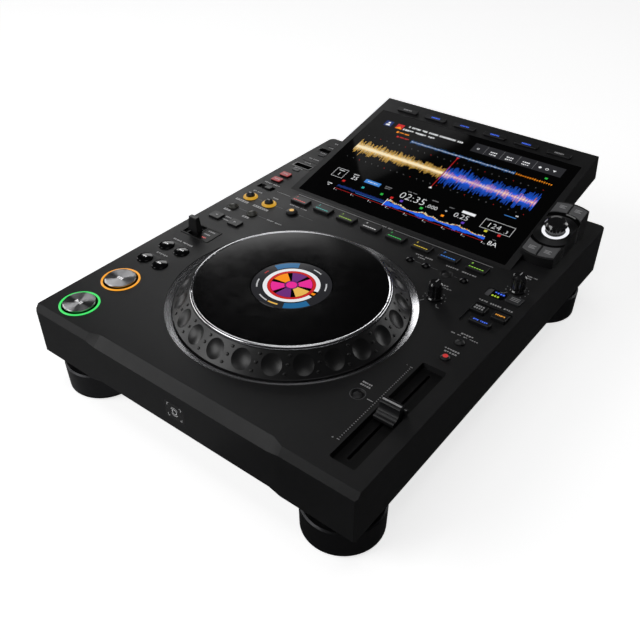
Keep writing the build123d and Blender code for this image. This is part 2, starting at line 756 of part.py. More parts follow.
for i in range(top_key_count):
    x = slab_x + (i - (top_key_count - 1) / 2) * top_key_pitch
    hole = RectangleRounded(top_key_w + 2 * key_gap, top_key_d + 2 * key_gap, 1.2)
    slab -= on_slab(x, top_key_s) * prism(hole, -top_key_root - key_travel - pad_gap, 1)
    cap = prism(RectangleRounded(top_key_w, top_key_d, 0.9), -top_key_root, top_key_top)
    top_keys.append(on_slab(x, top_key_s) * chamfer(top_edges(cap), 0.25))
block_mid = (block_right + block_left) / 2 - block_x
strip = Pos(block_mid, 0) * Rectangle(block_right - block_left, 2 * block_r + 10)
block_plan = strip & Circle(block_r)
slab -= at(block_x, block_y) * prism(offset(block_plan, block_gap), -slab_sunk - 1, block_r + slab_len)
save("display_housing", slab)
save("display_glass", glass)
save("display_keys", Compound(children=top_keys))

# ---- selector housing ----
sel_s = (block_y - slab_y) / cos(T) + block_over * tan(T)
block = at(block_x, block_y) * prism(block_plan, 0, block_r + block_over)
lap_plan = block_plan & (Pos(block_left - block_x + block_lap / 2, 0) * Rectangle(block_lap, 2 * block_r))
block += at(block_x, block_y) * prism(lap_plan, -slab_sunk, 0)
cap_cut = prism(Circle(2 * block_r), 0, 2 * block_r)
block -= on_slab(block_x, sel_s, block_over) * cap_cut
sel = on_slab(block_x, sel_s, block_over)
floor = -dish_depth - well_deep
ring_hole_r = halo_r + fit_gap
dish = spun([
    (0, 1), (0, floor), (ring_hole_r, floor), (ring_hole_r, -dish_depth), (dish_floor_r, -dish_depth), (dish_r, 0),
    (dish_r, 1),
])
block -= sel * dish
sel_key_root = 2.6
sel_key_top = 0.7
key_in = dish_r + 0.9
key_out = block_r - 1.2
key_side = (block_right - block_left) / 2 - 1.0
ring_plan = Circle(key_out) - Circle(key_in)
key_plans = []
for sx in (-1, 1):
    for sy in (-1, 1):
        inner_x = block_mid + sx * 0.8
        outer_x = block_mid + sx * key_side
        cell = Pos((inner_x + outer_x) / 2, sy * block_r) * Rectangle(abs(outer_x - inner_x), 2 * block_r)
        key_plans.append(ring_plan & cell)
sel_keys = []
for kp in key_plans:
    wide = offset(kp, key_gap)
    block -= sel * prism(wide, -sel_key_root - key_travel - pad_gap, 1)
    sel_keys.append(sel * chamfer(top_edges(prism(kp, -sel_key_root, sel_key_top)), 0.4))
shaft_root = 7.6
block -= sel * prism(Circle(shaft_r + bearing_gap), -shaft_root - key_travel - 0.2, 1)
save("selector_housing", block)
save("selector_keys", Compound(children=sel_keys))
knob_low = floor + knob_lift
shaft_top = knob_low + knob_h - shaft_cover
save("selector_shaft", sel * prism(Circle(shaft_r), -shaft_root, shaft_top))
flute_r = 2.6
flute_deep = 1.1
flute_out = knob_r + flute_r - flute_deep
flute = Circle(knob_r)
for i in range(knob_flutes):
    a = 2 * pi * i / knob_flutes
    flute -= Pos(flute_out * cos(a), flute_out * sin(a)) * Circle(flute_r)
head_low = knob_low + knob_neck_h
knob_top = knob_low + knob_h
crown = spun([
    (0, head_low - 0.5), (knob_neck_r - 0.4, head_low - 0.5), (knob_r, head_low + 1.8), (knob_r, knob_top - 2.4),
    (knob_r - 2.2, knob_top), (knob_r - 3.6, knob_top - 0.5), (0, knob_top - 0.9),
])
knob = prism(flute, head_low - 1, knob_top + 1) & crown
knurl = Circle(knob_neck_r)
for i in range(knurl_count):
    a = 2 * pi * i / knurl_count
    knurl -= Pos((knob_neck_r + 0.25) * cos(a), (knob_neck_r + 0.25) * sin(a)) * Circle(0.6)
knob += prism(knurl, knob_low, head_low)
knob += spun([
    (0, knob_low), (knob_foot_r, knob_low), (knob_foot_r, knob_low + 0.7), (knob_foot_r - 0.6, knob_low + 1.1),
    (0, knob_low + 1.1),
])
knob -= prism(Circle(shaft_r + bearing_gap), knob_low - 1, shaft_top + 0.3)
save("selector_knob", sel * knob)

# ---- light rings: play, cue, two loop keys and the selector ----
rings = []
for x, y in [(transport_x, play_y), (transport_x, cue_y)]:
    low = halo_inner + fit_gap
    high = halo_outer - fit_gap
    halo = [(low, -ring_t), (high, -ring_t), (high, 0.3), (high - 0.4, 0.6), (low + 0.2, 0.6), (low, 0.4)]
    rings.append(at(x, y) * spun(halo))
for x, y in loop_spots:
    low = loop_ring_inner + fit_gap
    high = loop_ring_outer - fit_gap
    halo = [(low, -ring_t), (high, -ring_t), (high, 0.4), (low + 0.6, loop_ring_h), (low, loop_ring_h)]
    rings.append(at(x, y) * spun(halo))
inner = halo_r - halo_w
halo_top = floor + well_deep + 0.1
halo = [(inner, floor), (halo_r, floor), (halo_r, halo_top - 0.4), (halo_r - 0.4, halo_top), (inner, halo_top)]
rings.append(sel * spun(halo))
save("light_rings", Compound(children=rings))

# ---- keys of the deck ----
for name, x, y, w, d, top in square_keys:
    save(name, at(x, y) * square_key(w, d, top))
for name, group in (("page_keys", page_keys), ("stop_keys", stop_keys)):
    save(name, Compound(children=[at(x, y) * square_key(w, d, top) for x, y, w, d, top in group]))
for name, x, y, dia, edge, crown in round_keys:
    save(name, at(x, y) * round_key(dia, edge, crown))
save("call_keys", Compound(children=[at(x, y) * round_key(dia, e, c) for x, y, dia, e, c in call_keys]))
for name, y in (("play_button", play_y), ("cue_button", cue_y)):
    r = transport_r
    face = spun([
        (0, -key_root), (r, -key_root), (r, transport_top - 0.5), (r - 0.5, transport_top),
        (r - 1.3, transport_top - 0.2), (0, transport_top - 0.6),
    ])
    save(name, at(transport_x, y) * face)

# ---- direction lever and its bezel ----
bezel = prism(RectangleRounded(bezel_w, bezel_d, 1.3), -bezel_t, 0.5)
bezel = chamfer(top_edges(bezel), 0.4)
slot_x = lever_x - bezel_x
slot_y = lever_y - bezel_y
legend_x = bezel_w / 2 - bezel_rim - legend_w / 2
window_w = bezel_w - legend_w - 2 * bezel_rim - bezel_bar
window_x = window_w / 2 + bezel_rim - bezel_w / 2
window_d = bezel_d - 2 * bezel_rim
bezel -= Pos(window_x, 0) * prism(RectangleRounded(window_w, window_d, 0.8), -1.4, 1)
bezel -= Pos(legend_x, 0) * prism(RectangleRounded(legend_w, window_d, 0.8), 0.1, 1)
bezel -= Pos(slot_x, slot_y) * prism(Rectangle(lever_hole_w, lever_hole_d), -bezel_t - 1, 1)
save("lever_bezel", at(bezel_x, bezel_y) * bezel)
tip_w = grip_foot_w - 2 * grip_draft
tip_d = grip_foot_d - 2 * grip_draft
finger = loft([
    Pos(0, 0, grip_foot_z) * RectangleRounded(grip_foot_w, grip_foot_d, 0.8),
    Pos(0, 0, lever_top) * RectangleRounded(tip_w, tip_d, 0.8),
])
lever = prism(Rectangle(lever_w, lever_d), -lever_root, grip_foot_z + 1)
lever += chamfer(top_edges(finger), 0.5)
save("direction_lever", at(lever_x, lever_y) * lever)

# ---- slide switch ----
tab_low = running_gap - switch_sunk
tab = prism(RectangleRounded(tab_w, tab_d, 0.6), tab_low, tab_top)
tab = chamfer(top_edges(tab), 0.4)
tab += prism(Rectangle(pin_w, pin_d), -pin_root, tab_low)
save("slide_switch", at(switch_x + switch_rest, switch_y) * tab)

# ---- media port housings ----
cases = []
for x, y, w, d in ports:
    box = prism(Rectangle(w + 2 * port_wall, d + 2 * port_wall), port_low, 0.5)
    box = chamfer(top_edges(box), 0.3)
    mouth = prism(Rectangle(w, d), -port_depth, 1)
    cases.append(at(x, y) * (box - mouth))
save("media_ports", Compound(children=cases))

# ---- dials ----
grip_out = dial_r + dial_grip_r - dial_grip_in
dial_foot_r = dial_r + dial_skirt
for name, x, y in dials:
    skirt = Circle(dial_r)
    for i in range(dial_grips):
        a = 2 * pi * (i + 0.5) / dial_grips
        skirt -= Pos(grip_out * cos(a), grip_out * sin(a)) * Circle(dial_grip_r)
    crown = spun([
        (0, 2.0), (dial_r - 0.6, 2.0), (dial_r, 4.0), (dial_r, dial_h - 1.6), (dial_r - 1.6, dial_h), (0, dial_h),
    ])
    knob = prism(skirt, 1.0, dial_h + 1) & crown
    knob += spun([(0, 0.5), (dial_foot_r, 0.5), (dial_foot_r, 1.6), (dial_foot_r - 0.8, 2.6), (0, 2.6)])
    knob += prism(Circle(shaft_r), -dial_root, 0.5)
    save(name, at(x, y) * knob)

# ---- tempo fader ----
cap_front = Polyline((4.4, fader_cap_low), (-11.6, fader_cap_low), (-11.9, -0.6))
cap_lip = ThreePointArc((-11.9, -0.6), (-11.3, 0.8), (-10.1, 1.1))
cap_dip = ThreePointArc((-10.1, 1.1), (-8.7, 0.9), (-7.6, 1.8))
cap_roll = ThreePointArc((-7.6, 1.8), (-7.0, 2.2), (-6.3, 2.3))
cap_rise = ThreePointArc((-6.3, 2.3), (-5.0, 4.2), (-4.4, 8.5))
cap_back = Polyline((-4.4, 8.5), (-4.0, 9.0), (-3.4, 9.3), (1.6, 9.3), (2.2, 8.8), (4.4, fader_cap_low))
cap_face = make_face(Plane.YZ * (Curve() + [cap_front, cap_lip, cap_dip, cap_roll, cap_rise, cap_back]))
fader = Pos(-fader_cap_w / 2, 0, 0) * extrude(cap_face, fader_cap_w, dir=(1, 0, 0))
for y in (-2.9, -2.2, 0.2, 0.9):
    fader -= Pos(0, y, 9.3) * Box(fader_cap_w + 1, ridge_groove, 2 * ridge_groove)
fader += Pos(fader_cap_w / 2 + 0.9, 2.0, 2.9) * Box(2.6, 3.6, 4.6)
fader += Pos(-0.6, 0, -7.5) * Box(fader_slot_w - 2 * running_gap, fader_stem, 11.2)
save("tempo_fader", at(fader_x, fader_mid_y) * fader)
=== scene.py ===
import bpy
import bmesh
from math import cos, pi, radians, sin, tan
from mathutils import Matrix, Vector
from random import Random


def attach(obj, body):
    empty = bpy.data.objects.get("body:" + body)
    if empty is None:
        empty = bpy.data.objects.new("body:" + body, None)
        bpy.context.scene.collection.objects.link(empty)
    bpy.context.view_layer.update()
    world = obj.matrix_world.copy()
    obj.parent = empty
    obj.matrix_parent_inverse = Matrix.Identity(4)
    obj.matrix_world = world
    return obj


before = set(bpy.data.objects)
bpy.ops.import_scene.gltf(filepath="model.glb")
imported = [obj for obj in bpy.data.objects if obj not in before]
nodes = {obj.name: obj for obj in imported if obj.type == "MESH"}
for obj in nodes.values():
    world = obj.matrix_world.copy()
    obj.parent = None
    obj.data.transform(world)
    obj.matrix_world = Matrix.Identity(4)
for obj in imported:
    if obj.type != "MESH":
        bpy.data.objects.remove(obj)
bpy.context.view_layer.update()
scene = bpy.context.scene

# ---- places, in deck millimetres: x from the middle, y back from the deck's front edge, z over the deck ----
MID_Y = 234.1615
DECK_Z = 83.5
BACK_Y = 409.0  # rear panel
REAR_Z = -24.5  # middle of the rear sockets
BASE_Z = -47.0  # underside of the base pan
DISPLAY_Y = 283.9  # front edge of the display's face
TILT = radians(12.5)  # of the display
PICTURE_S = 6.52  # from that edge, up the slope, to the picture's zero line
GLASS_UP = -0.1  # the glass, over the display's face
JOG = (0.0, 133.2)
JOG_GLASS_Z = 14.7
PLAY = (-136.3, 20.5)
CUE = (-136.3, 64.8)
SELECTOR = (137.75, 345.0, 17.54)  # on top of its housing
JOG_FEEL = (93.6, 208.0)
STOP_SPEED = (144.4, 260.0)
FRONT_PATCH = (-2, -4.4, -26)
PHONO_WHITE_X, PHONO_RED_X, DIGITAL_X = -86, -66, -116
PHONO_FACE = 9.4  # ends of the phono sockets, behind the rear panel
INLET_X = (92, 130)
WELL = (126.2, 15, -12), (153.5, 130, -0.25)  # the fader's, from corner to corner; inside it the case gets painted shade

# heights of the faces that carry marks
TOP = {
    "search": 2.22, "track": 2.22, "jump": 1.8, "play": 1.75, "cue": 1.75, "hot_cue": 2.7, "loop": 4.97,
    "reloop": 3.25, "page": 2.0, "jog_mode": 1.5, "beat_sync": 2.2, "master": 2.2, "key_sync": 2.2,
    "master_tempo": 2.25, "knob": 16.4, "fader": 9.3, "fader_tab": 5.2, "mode_plate": -0.8,
    "mode_words": -0.72, "lever_window": 0.1, "lever_words": 0.16, "display_keys": 2.1, "selector_keys": 0.7,
}


def at(x, y, z=0.0):
    """World place of a point in deck millimetres."""
    return Vector((x / 1000, (y - MID_Y) / 1000, (z + DECK_Z) / 1000))


class Plane:
    """A drawing plane: u and v in millimetres along it, w out of it."""

    def __init__(self, origin, u, v, w):
        self.origin, self.u, self.v, self.w = origin, Vector(u), Vector(v), Vector(w)

    def __call__(self, u, v, w=0.0):
        return self.origin + (self.u * u + self.v * v + self.w * w) / 1000

    def moved(self, u, v, w):
        return Plane(self(u, v, w), self.u, self.v, self.w)

    def lifted(self, w):
        return self.moved(0, 0, w)


def level(x, y, z):
    """A plane that lies level, with its middle at a place."""
    return Plane(at(x, y, z), (1, 0, 0), (0, 1, 0), (0, 0, 1))


def over(part):
    """The level plane on which a part's marks are drawn."""
    return level(0, 0, TOP[part])


def sloped(origin):
    """A plane as steep as the display: u is x, and v runs up the slope."""
    return Plane(origin, (1, 0, 0), (0, cos(TILT), sin(TILT)), (0, -sin(TILT), cos(TILT)))


def upright(origin, out):
    """A plane that looks along out, with v up."""
    out, up = Vector(out), Vector((0, 0, 1))
    return Plane(origin, up.cross(out), up, out)


def rear(x, z, back=0.0):
    """A plane on the rear panel, with its middle at x and z; u runs to smaller x."""
    return upright(at(x, BACK_Y + back, z), (0, 1, 0))


# ---- node material helpers ----
def times(colour, factor, lift=0.0):
    return tuple(c * factor + lift for c in colour)


class Mat:
    """A material made of nodes round one Principled shader."""

    def __init__(self, name, base, rough=0.5, metal=0.0, spec=0.5):
        self.material = bpy.data.materials.new(name)
        self.material.use_nodes = True
        self.tree = self.material.node_tree
        self.shader = self.tree.nodes["Principled BSDF"]
        self.set("Base Color", base)
        self.set("Roughness", rough)
        self.set("Metallic", metal)
        self.set("Specular IOR Level", spec)
        self._where = None

    def feed(self, sock, value):
        """Links a socket to an output, or gives it a number or colour; None leaves it alone."""
        if isinstance(value, bpy.types.NodeSocket):
            self.tree.links.new(value, sock)
        elif value is not None:
            sock.default_value = (*value, 1.0) if sock.type == "RGBA" else value

    def set(self, name, value):
        self.feed(self.shader.inputs[name], value)

    def now(self, name):
        """What one of the shader's sockets has: an output that feeds it, or its own value."""
        sock = self.shader.inputs[name]
        return sock.links[0].from_socket if sock.links else sock.default_value

    def add(self, kind, props=(), out=0, **ins):
        """An output of a new shader node; its inputs go by name, or by number as i0, i1 and so on."""
        n = self.tree.nodes.new("ShaderNode" + kind)
        for k, v in dict(props).items():
            setattr(n, k, v)
        for k, v in ins.items():
            self.feed(n.inputs[int(k[1:]) if k[0] == "i" else k], v)
        return n.outputs[out]

    @property
    def where(self):
        """Object coordinates, which are the shared frame's metres."""
        if self._where is None:
            self._where = self.add("TexCoord", out="Object")
        return self._where

    def axis(self, name):
        """X, Y or Z of the object coordinates."""
        return self.add("SeparateXYZ", out=name, Vector=self.where)

    def only(self, x):
        """A point with that x alone, for a pattern that changes along one measure."""
        return self.add("CombineXYZ", X=x)

    def math(self, op, a, b=None, clamp=False):
        return self.add("Math", {"operation": op, "use_clamp": clamp}, i0=a, i1=b)

    def vec(self, op, a, b=None, out=0):
        return self.add("VectorMath", {"operation": op}, out, i0=a, i1=b)

    def noise(self, scale, detail=3.0, rough=0.55, where=None):
        place = where or self.where
        return self.add("TexNoise", Vector=place, Scale=scale, Detail=detail, Roughness=rough)

    def span(self, value, low, high, to_low, to_high):
        return self.add("MapRange", i0=value, i1=low, i2=high, i3=to_low, i4=to_high)

    def mix(self, share, a, b):
        """From colour a to colour b."""
        return self.add("Mix", {"data_type": "RGBA"}, 2, i0=share, i6=a, i7=b)

    def mixf(self, share, a, b):
        """From number a to number b."""
        return self.add("Mix", {"data_type": "FLOAT"}, i0=share, i2=a, i3=b)

    def bump(self, height, strength, distance):
        self.set("Normal", self.add("Bump", Height=height, Strength=strength, Distance=distance))

    def glow(self, colour, strength):
        self.set("Emission Color", colour)
        self.set("Emission Strength", strength)

    def offset(self, centre):
        """Level vector from a world point, and its length."""
        d = self.vec("SUBTRACT", self.where, tuple(centre))
        flat = self.vec("MULTIPLY", d, (1, 1, 0))
        return flat, self.vec("LENGTH", flat, out=1)

    def within(self, value, low, high, soft=0.00004):
        """1 between low and high, and 0 elsewhere."""
        up = self.span(value, low - soft, low + soft, 0, 1)
        down = self.span(value, high - soft, high + soft, 1, 0)
        return self.math("MULTIPLY", up, down)


# ---- kinds of material ----
def plastic(name, colour, rough=0.5, spec=0.35, grain=5200, depth=0.25):
    """Moulded plastic: fine spark-eroded grain, slight changes of tone and gloss from handling."""
    vary, wear = 0.25, 0.12
    k = Mat(name, colour, rough, 0.0, spec)
    broad = k.noise(14, 4)
    hand = k.noise(160, 3)
    tone = k.math("ADD", k.span(broad, 0.3, 0.7, -vary, vary), k.span(hand, 0.3, 0.7, -vary / 2, vary / 2))
    share = k.math("ADD", tone, 0.5, clamp=True)
    k.set("Base Color", k.mix(share, times(colour, 1 - vary), times(colour, 1 + vary, 0.0006)))
    fine = k.noise(grain, 2)
    handled = k.span(broad, 0.3, 0.7, rough - wear / 2, rough + wear / 2)
    k.set("Roughness", k.math("ADD", handled, k.span(fine, 0.3, 0.7, -0.03, 0.03), clamp=True))
    k.bump(fine, depth, 0.00006)
    return k


def gloss(name, colour, rough=0.16, spec=0.5, smear=0.08):
    """Polished plastic with faint finger marks and moulding ripple."""
    k = Mat(name, colour, rough, 0.0, spec)
    fingers = k.noise(90, 5, 0.6)
    ripple = k.noise(900, 2)
    k.set("Base Color", k.mix(fingers, times(colour, 0.8), times(colour, 1.25, 0.0005)))
    k.set("Roughness", k.span(fingers, 0.35, 0.7, rough - smear / 2, rough + smear))
    k.bump(ripple, 0.05, 0.00003)
    return k


def spun(name, colour, centre, rough=0.3, pitch=0.00042, aniso=0.75, depth=0.3):
    """Metal turned or spun about an upright axis: fine rings, with the streaks of light they give."""
    k = Mat(name, colour, rough, 1.0)
    flat, r = k.offset(centre)
    k.set("Anisotropic", aniso)
    k.set("Tangent", k.vec("NORMALIZE", flat))
    uneven = k.noise(1 / pitch / 3, 2, where=k.only(r))
    k.set("Base Color", k.mix(uneven, times(colour, 0.85), times(colour, 1.12)))
    k.set("Roughness", k.span(uneven, 0.3, 0.7, rough - 0.02, rough + 0.03))
    rings = k.math("SINE", k.math("MULTIPLY", r, 2 * pi / pitch))
    k.bump(rings, depth, 0.00001)
    return k


def lamp(name, colour, strength, body):
    """Lit translucent plastic, a little brighter in some places than in others."""
    k = Mat(name, body, 0.35)
    spots = k.noise(260, 2)
    k.glow(k.mix(spots, times(colour, 0.82), colour), strength)
    k.bump(k.noise(3000, 1), 0.05, 0.00002)
    return k


def ink(name, colour, rough=0.45, glow=0.0):
    """Screen-printed or pad-printed ink, slightly uneven; where it has a glow, that glow is painted
    brightness, not a lamp behind it.
    """
    k = Mat(name, colour, rough, 0.0, 0.4)
    worn = k.noise(420, 4)
    k.set("Base Color", k.mix(k.span(worn, 0.25, 0.6, 0, 1), times(colour, 0.78), colour))
    if glow:
        k.glow(k.mix(worn, times(colour, 0.85), colour), glow)
    k.bump(k.noise(5000, 1), 0.08, 0.00002)
    return k


# ---- materials of single CAD nodes ----
CASE_BLACK = (0.0085, 0.0085, 0.0092)
KEY_METAL = (0.42, 0.42, 0.43)
GLASS_BLACK = (0.0008, 0.0008, 0.0009)


def case_plastic(name):
    return plastic(name, CASE_BLACK, 0.5, 0.3, grain=2600, depth=0.4)


def top_case():
    """The case's plastic, with a smoother floor in the fader's well, darker there as painted shade of the
    recess.
    """
    k = case_plastic("case_body")
    low, high = (at(*corner) for corner in WELL)
    across, along, deep = (k.within(k.axis(name), low[i], high[i]) for i, name in enumerate("XYZ"))
    well = k.math("MULTIPLY", k.math("MULTIPLY", across, along), deep)
    # painted shade: the inside of the well takes a darker colour, as the recess's shade would give it
    k.set("Base Color", k.mix(well, k.now("Base Color"), (0.0035, 0.0035, 0.0038)))
    for name, value in (("Roughness", 0.42), ("Specular IOR Level", 0.16)):
        k.set(name, k.mixf(well, k.now(name), value))
    return k


def selector_case():
    """Matte outside, with a polished round field under the knob and a spun dish in it."""
    k = Mat("selector_case", CASE_BLACK, 0.5, 0.0, 0.4)
    flat, reach = k.offset(at(*SELECTOR))
    field = k.within(reach, -1, 0.0238)
    dish = k.within(reach, 0.0128, 0.0205, 0.0002)
    k.set("Base Color", k.mix(dish, k.mix(field, CASE_BLACK, (0.002, 0.002, 0.0022)), (0.05, 0.05, 0.052)))
    matte = k.span(k.noise(14, 4), 0.3, 0.7, 0.46, 0.56)
    k.set("Roughness", k.mixf(dish, k.mixf(field, matte, 0.05), 0.3))
    k.set("Metallic", k.math("MULTIPLY", dish, 0.85))
    k.set("Anisotropic", k.math("MULTIPLY", dish, 0.95))
    k.set("Tangent", k.vec("NORMALIZE", flat))
    grain = k.math("MULTIPLY", k.noise(2600, 2), k.math("SUBTRACT", 1.0, field))
    k.bump(grain, 0.4, 0.00006)
    return k


def page_caps():
    """Red lit tops on black bodies."""
    k = Mat("cap_red", (0.2, 0.012, 0.012), 0.4)
    top = k.span(k.axis("Z"), (DECK_Z + 1.3) / 1000, (DECK_Z + 1.5) / 1000, 0, 1)
    k.set("Base Color", k.mix(top, (0.004, 0.003, 0.003), (0.22, 0.02, 0.02)))
    k.glow(k.mix(k.noise(500, 2), (0.3, 0.012, 0.018), (0.42, 0.02, 0.028)), k.math("MULTIPLY", top, 0.5))
    k.bump(k.noise(4200, 2), 0.1, 0.00004)
    return k


def platter():
    """Gloss with fine concentric grooves."""
    k = gloss("platter", (0.002, 0.002, 0.0022), 0.09, 0.42, 0.02)
    r = k.offset(at(*JOG))[1]
    grooves = k.math("SINE", k.math("MULTIPLY", r, 2 * pi / 0.0011))
    bands = k.noise(900, 2, where=k.only(r))
    k.bump(k.math("ADD", grooves, bands), 0.05, 0.00001)
    return k


def foot_metal():
    """Dark metal, turned, with fine lines round it."""
    k = Mat("foot_metal", (0.03, 0.03, 0.032), 0.36, 0.85)
    lines = k.noise(9000, 2, where=k.vec("MULTIPLY", k.where, (0.02, 0.02, 1)))
    k.set("Base Color", k.mix(lines, (0.02, 0.02, 0.022), (0.05, 0.05, 0.053)))
    k.set("Roughness", k.span(lines, 0.3, 0.7, 0.3, 0.44))
    k.bump(lines, 0.25, 0.00003)
    return k


def light_rings():
    """Green round play, orange round cue, white round the selector, amber under the two loop keys."""
    k = Mat("ring_lights", (0.02, 0.02, 0.02), 0.3)

    def near(place, reach):
        return k.within(k.offset(at(*place[:2]))[1], -1, reach / 1000)

    play, cue, halo = near(PLAY, 18), near(CUE, 18), near(SELECTOR, 16)
    glow = k.mix(play, (0.95, 0.5, 0.025), (0.06, 0.85, 0.16))
    glow = k.mix(cue, glow, (1.0, 0.4, 0.02))
    glow = k.mix(halo, glow, (0.95, 0.96, 1.0))
    k.set("Emission Color", k.mix(k.span(k.noise(300, 2), 0.2, 0.8, 0.1, 0), glow, (0, 0, 0)))
    loops = k.math("SUBTRACT", 1.0, k.math("ADD", k.math("ADD", play, cue), halo), clamp=True)
    k.set("Emission Strength", k.mixf(loops, 1.0, 0.62))
    k.bump(k.noise(3000, 1), 0.05, 0.00002)
    return k


def rear_sockets():
    """Plated shells, with the dark moulding of the mains inlet."""
    k = Mat("socket_plate", (0.45, 0.45, 0.46), 0.32, 1.0)
    inlet = k.within(k.axis("X"), INLET_X[0] / 1000, INLET_X[1] / 1000)
    worn = k.noise(500, 4)
    plated = k.mix(worn, (0.36, 0.36, 0.37), (0.55, 0.55, 0.56))
    k.set("Base Color", k.mix(inlet, plated, (0.012, 0.012, 0.012)))
    k.set("Metallic", k.math("SUBTRACT", 1.0, inlet))
    k.set("Roughness", k.span(worn, 0.3, 0.7, 0.26, 0.4))
    k.bump(worn, 0.05, 0.00003)
    return k


def dress(made, *names):
    """Gives those CAD nodes one material all over."""
    for n in names:
        slots = nodes[n].data.materials
        if not slots:
            slots.append(made.material)
        for i in range(len(slots)):
            slots[i] = made.material


HOT_CUES = {
    "a": (0.75, 0.06, 0.05), "b": (0.04, 0.5, 0.45), "c": (0.35, 0.6, 0.06), "d": (0.7, 0.7, 0.7),
    "e": (0.06, 0.6, 0.12), "f": (0.75, 0.55, 0.05), "g": (0.06, 0.25, 0.8), "h": (0.3, 0.65, 0.08),
}

dress(case_plastic("case_matte"), "display_housing")
dress(top_case(), "top_case")
dress(selector_case(), "selector_housing")
dress(plastic("steel_painted", (0.011, 0.011, 0.012), 0.55, 0.35, grain=1800, depth=0.4),
      "base_pan", "rear_panel")
dress(plastic("cap_satin", (0.012, 0.012, 0.013), 0.42, 0.4, grain=4200, depth=0.15),
      "beat_jump_back_key", "beat_jump_fwd_key", "stop_keys", "slide_switch", "power_switch",
      *("hot_cue_" + letter for letter in HOT_CUES),
      "display_keys", "direction_lever", "tempo_fader", "delete_key", "tempo_reset_key",
      "master_tempo_key", "tempo_range_key", "reloop_key", "loop_in_key", "loop_out_key",
      "master_key", "key_sync_key")
dress(gloss("port_gloss", (0.006, 0.006, 0.006), 0.22), "media_ports")
dress(plastic("bezel_black", (0.003, 0.003, 0.003), 0.4, 0.15), "lever_bezel")
dress(gloss("cap_gloss", (0.004, 0.004, 0.0045), 0.1, 0.22, 0.04),
      "search_back_key", "search_fwd_key", "track_back_key", "track_fwd_key", "memory_key", "call_keys")
dress(gloss("dial_gloss", (0.012, 0.012, 0.013), 0.13, 0.9, 0.04),
      "jog_feel_knob", "stop_speed_knob", "selector_knob")
dress(plastic("cap_olive", (0.05, 0.05, 0.042), 0.3, 0.5), "beat_loop_half_key", "beat_loop_double_key")
dress(plastic("cap_grey", (0.16, 0.161, 0.166), 0.5, 0.3, grain=2600, depth=0.4), "selector_keys")
dress(plastic("cap_dark_grey", (0.035, 0.036, 0.039), 0.4, 0.4), "jog_mode_key")
dress(plastic("cap_black", (0.006, 0.006, 0.0065), 0.35, 0.4), "beat_sync_key")
dress(gloss("pane", GLASS_BLACK, 0.06, 0.5, 0.015), "display_glass")
dress(gloss("screen_round", GLASS_BLACK, 0.035, 0.5, 0.015), "jog_display")
dress(page_caps(), "page_keys")
dress(platter(), "jog_platter")
dress(spun("rim_bright", (0.62, 0.62, 0.64), at(*JOG), 0.16, 0.0003, 0.3, 0.1), "jog_rim")
grip = plastic("grip_satin", (0.012, 0.012, 0.0125), 0.36, 0.45, grain=2600, depth=0.12)
dress(grip, "jog_grip")
dress(spun("cone_spun", (0.72, 0.72, 0.74), at(*JOG), 0.26, 0.0012, 0.95, 0.02), "jog_base")
dress(spun("key_spun_play", KEY_METAL, at(*PLAY), 0.29, aniso=1.0, depth=0.02), "play_button")
dress(spun("key_spun_cue", KEY_METAL, at(*CUE), 0.29, aniso=1.0, depth=0.02), "cue_button")
dress(spun("shaft_steel", (0.4, 0.4, 0.42), at(*SELECTOR), 0.3), "selector_shaft")
dress(plastic("foot_rubber", (0.02, 0.02, 0.02), 0.8, 0.2, grain=1500, depth=0.5), "foot_pads")
dress(foot_metal(), "feet")
dress(light_rings(), "light_rings")
dress(rear_sockets(), "rear_sockets")

# ---- flat printed and lit work: closed solids a few hundredths of a millimetre thick ----
INK_OUT = 0.045
INK_IN = 0.02
sheets = {}  # name: the mesh being built, its material, the body that it rides on


def new_object(name, data):
    obj = bpy.data.objects.new(name, data)
    scene.collection.objects.link(obj)
    return obj


def sheet_of(name, material, body="case"):
    """The mesh of that name, to be drawn on."""
    if name not in sheets:
        sheets[name] = (bmesh.new(), material, body)
    return sheets[name][0]


def finish_sheet(name):
    bm, made, body = sheets[name]
    bmesh.ops.recalc_face_normals(bm, faces=bm.faces)
    mesh = bpy.data.meshes.new(name)
    bm.to_mesh(mesh)
    bm.free()
    obj = new_object(name, mesh)
    mesh.materials.append(made.material)
    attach(obj, body)


def tube_of(bm, columns, closed=False):
    """Faces between rings of as many points each, with end faces where the tube isn't closed."""
    pairs = list(zip(columns, columns[1:]))
    if closed:
        pairs.append((columns[-1], columns[0]))
    n = len(columns[0])
    for p, q in pairs:
        for j in range(n):
            k = (j + 1) % n
            bm.faces.new((p[j], p[k], q[k], q[j]))
    if not closed:
        bm.faces.new(columns[0][::-1])
        bm.faces.new(columns[-1])


def prism(bm, plane, outline, out=INK_OUT):
    """A closed solid on a flat outline that runs anticlockwise seen from outside."""
    low = [bm.verts.new(plane(u, v, -INK_IN)) for u, v in outline]
    top = [bm.verts.new(plane(u, v, out)) for u, v in outline]
    bm.faces.new(top)
    bm.faces.new(low[::-1])
    n = len(outline)
    for i in range(n):
        j = (i + 1) % n
        bm.faces.new((low[i], low[j], top[j], top[i]))


def bar(bm, plane, u0, v0, u1, v1, out=INK_OUT):
    prism(bm, plane, [(u0, v0), (u1, v0), (u1, v1), (u0, v1)], out)


def line(bm, plane, a, b, width):
    """A straight line of that width from a to b."""
    d = Vector((b[0] - a[0], b[1] - a[1])).normalized()
    n = Vector((-d.y, d.x)) * width / 2
    prism(bm, plane, [(a[0] - n.x, a[1] - n.y), (b[0] - n.x, b[1] - n.y),
                      (b[0] + n.x, b[1] + n.y), (a[0] + n.x, a[1] + n.y)])


def rule(bm, plane, u0, u1, v, width):
    """A line along u."""
    line(bm, plane, (u0, v), (u1, v), width)


def circle(r, n):
    turns = (2 * pi * i / n for i in range(n))
    return [(r * cos(t), r * sin(t)) for t in turns]


def disc(bm, plane, u, v, r, n=24, out=INK_OUT):
    prism(bm, plane, [(u + x, v + y) for x, y in circle(r, n)], out)


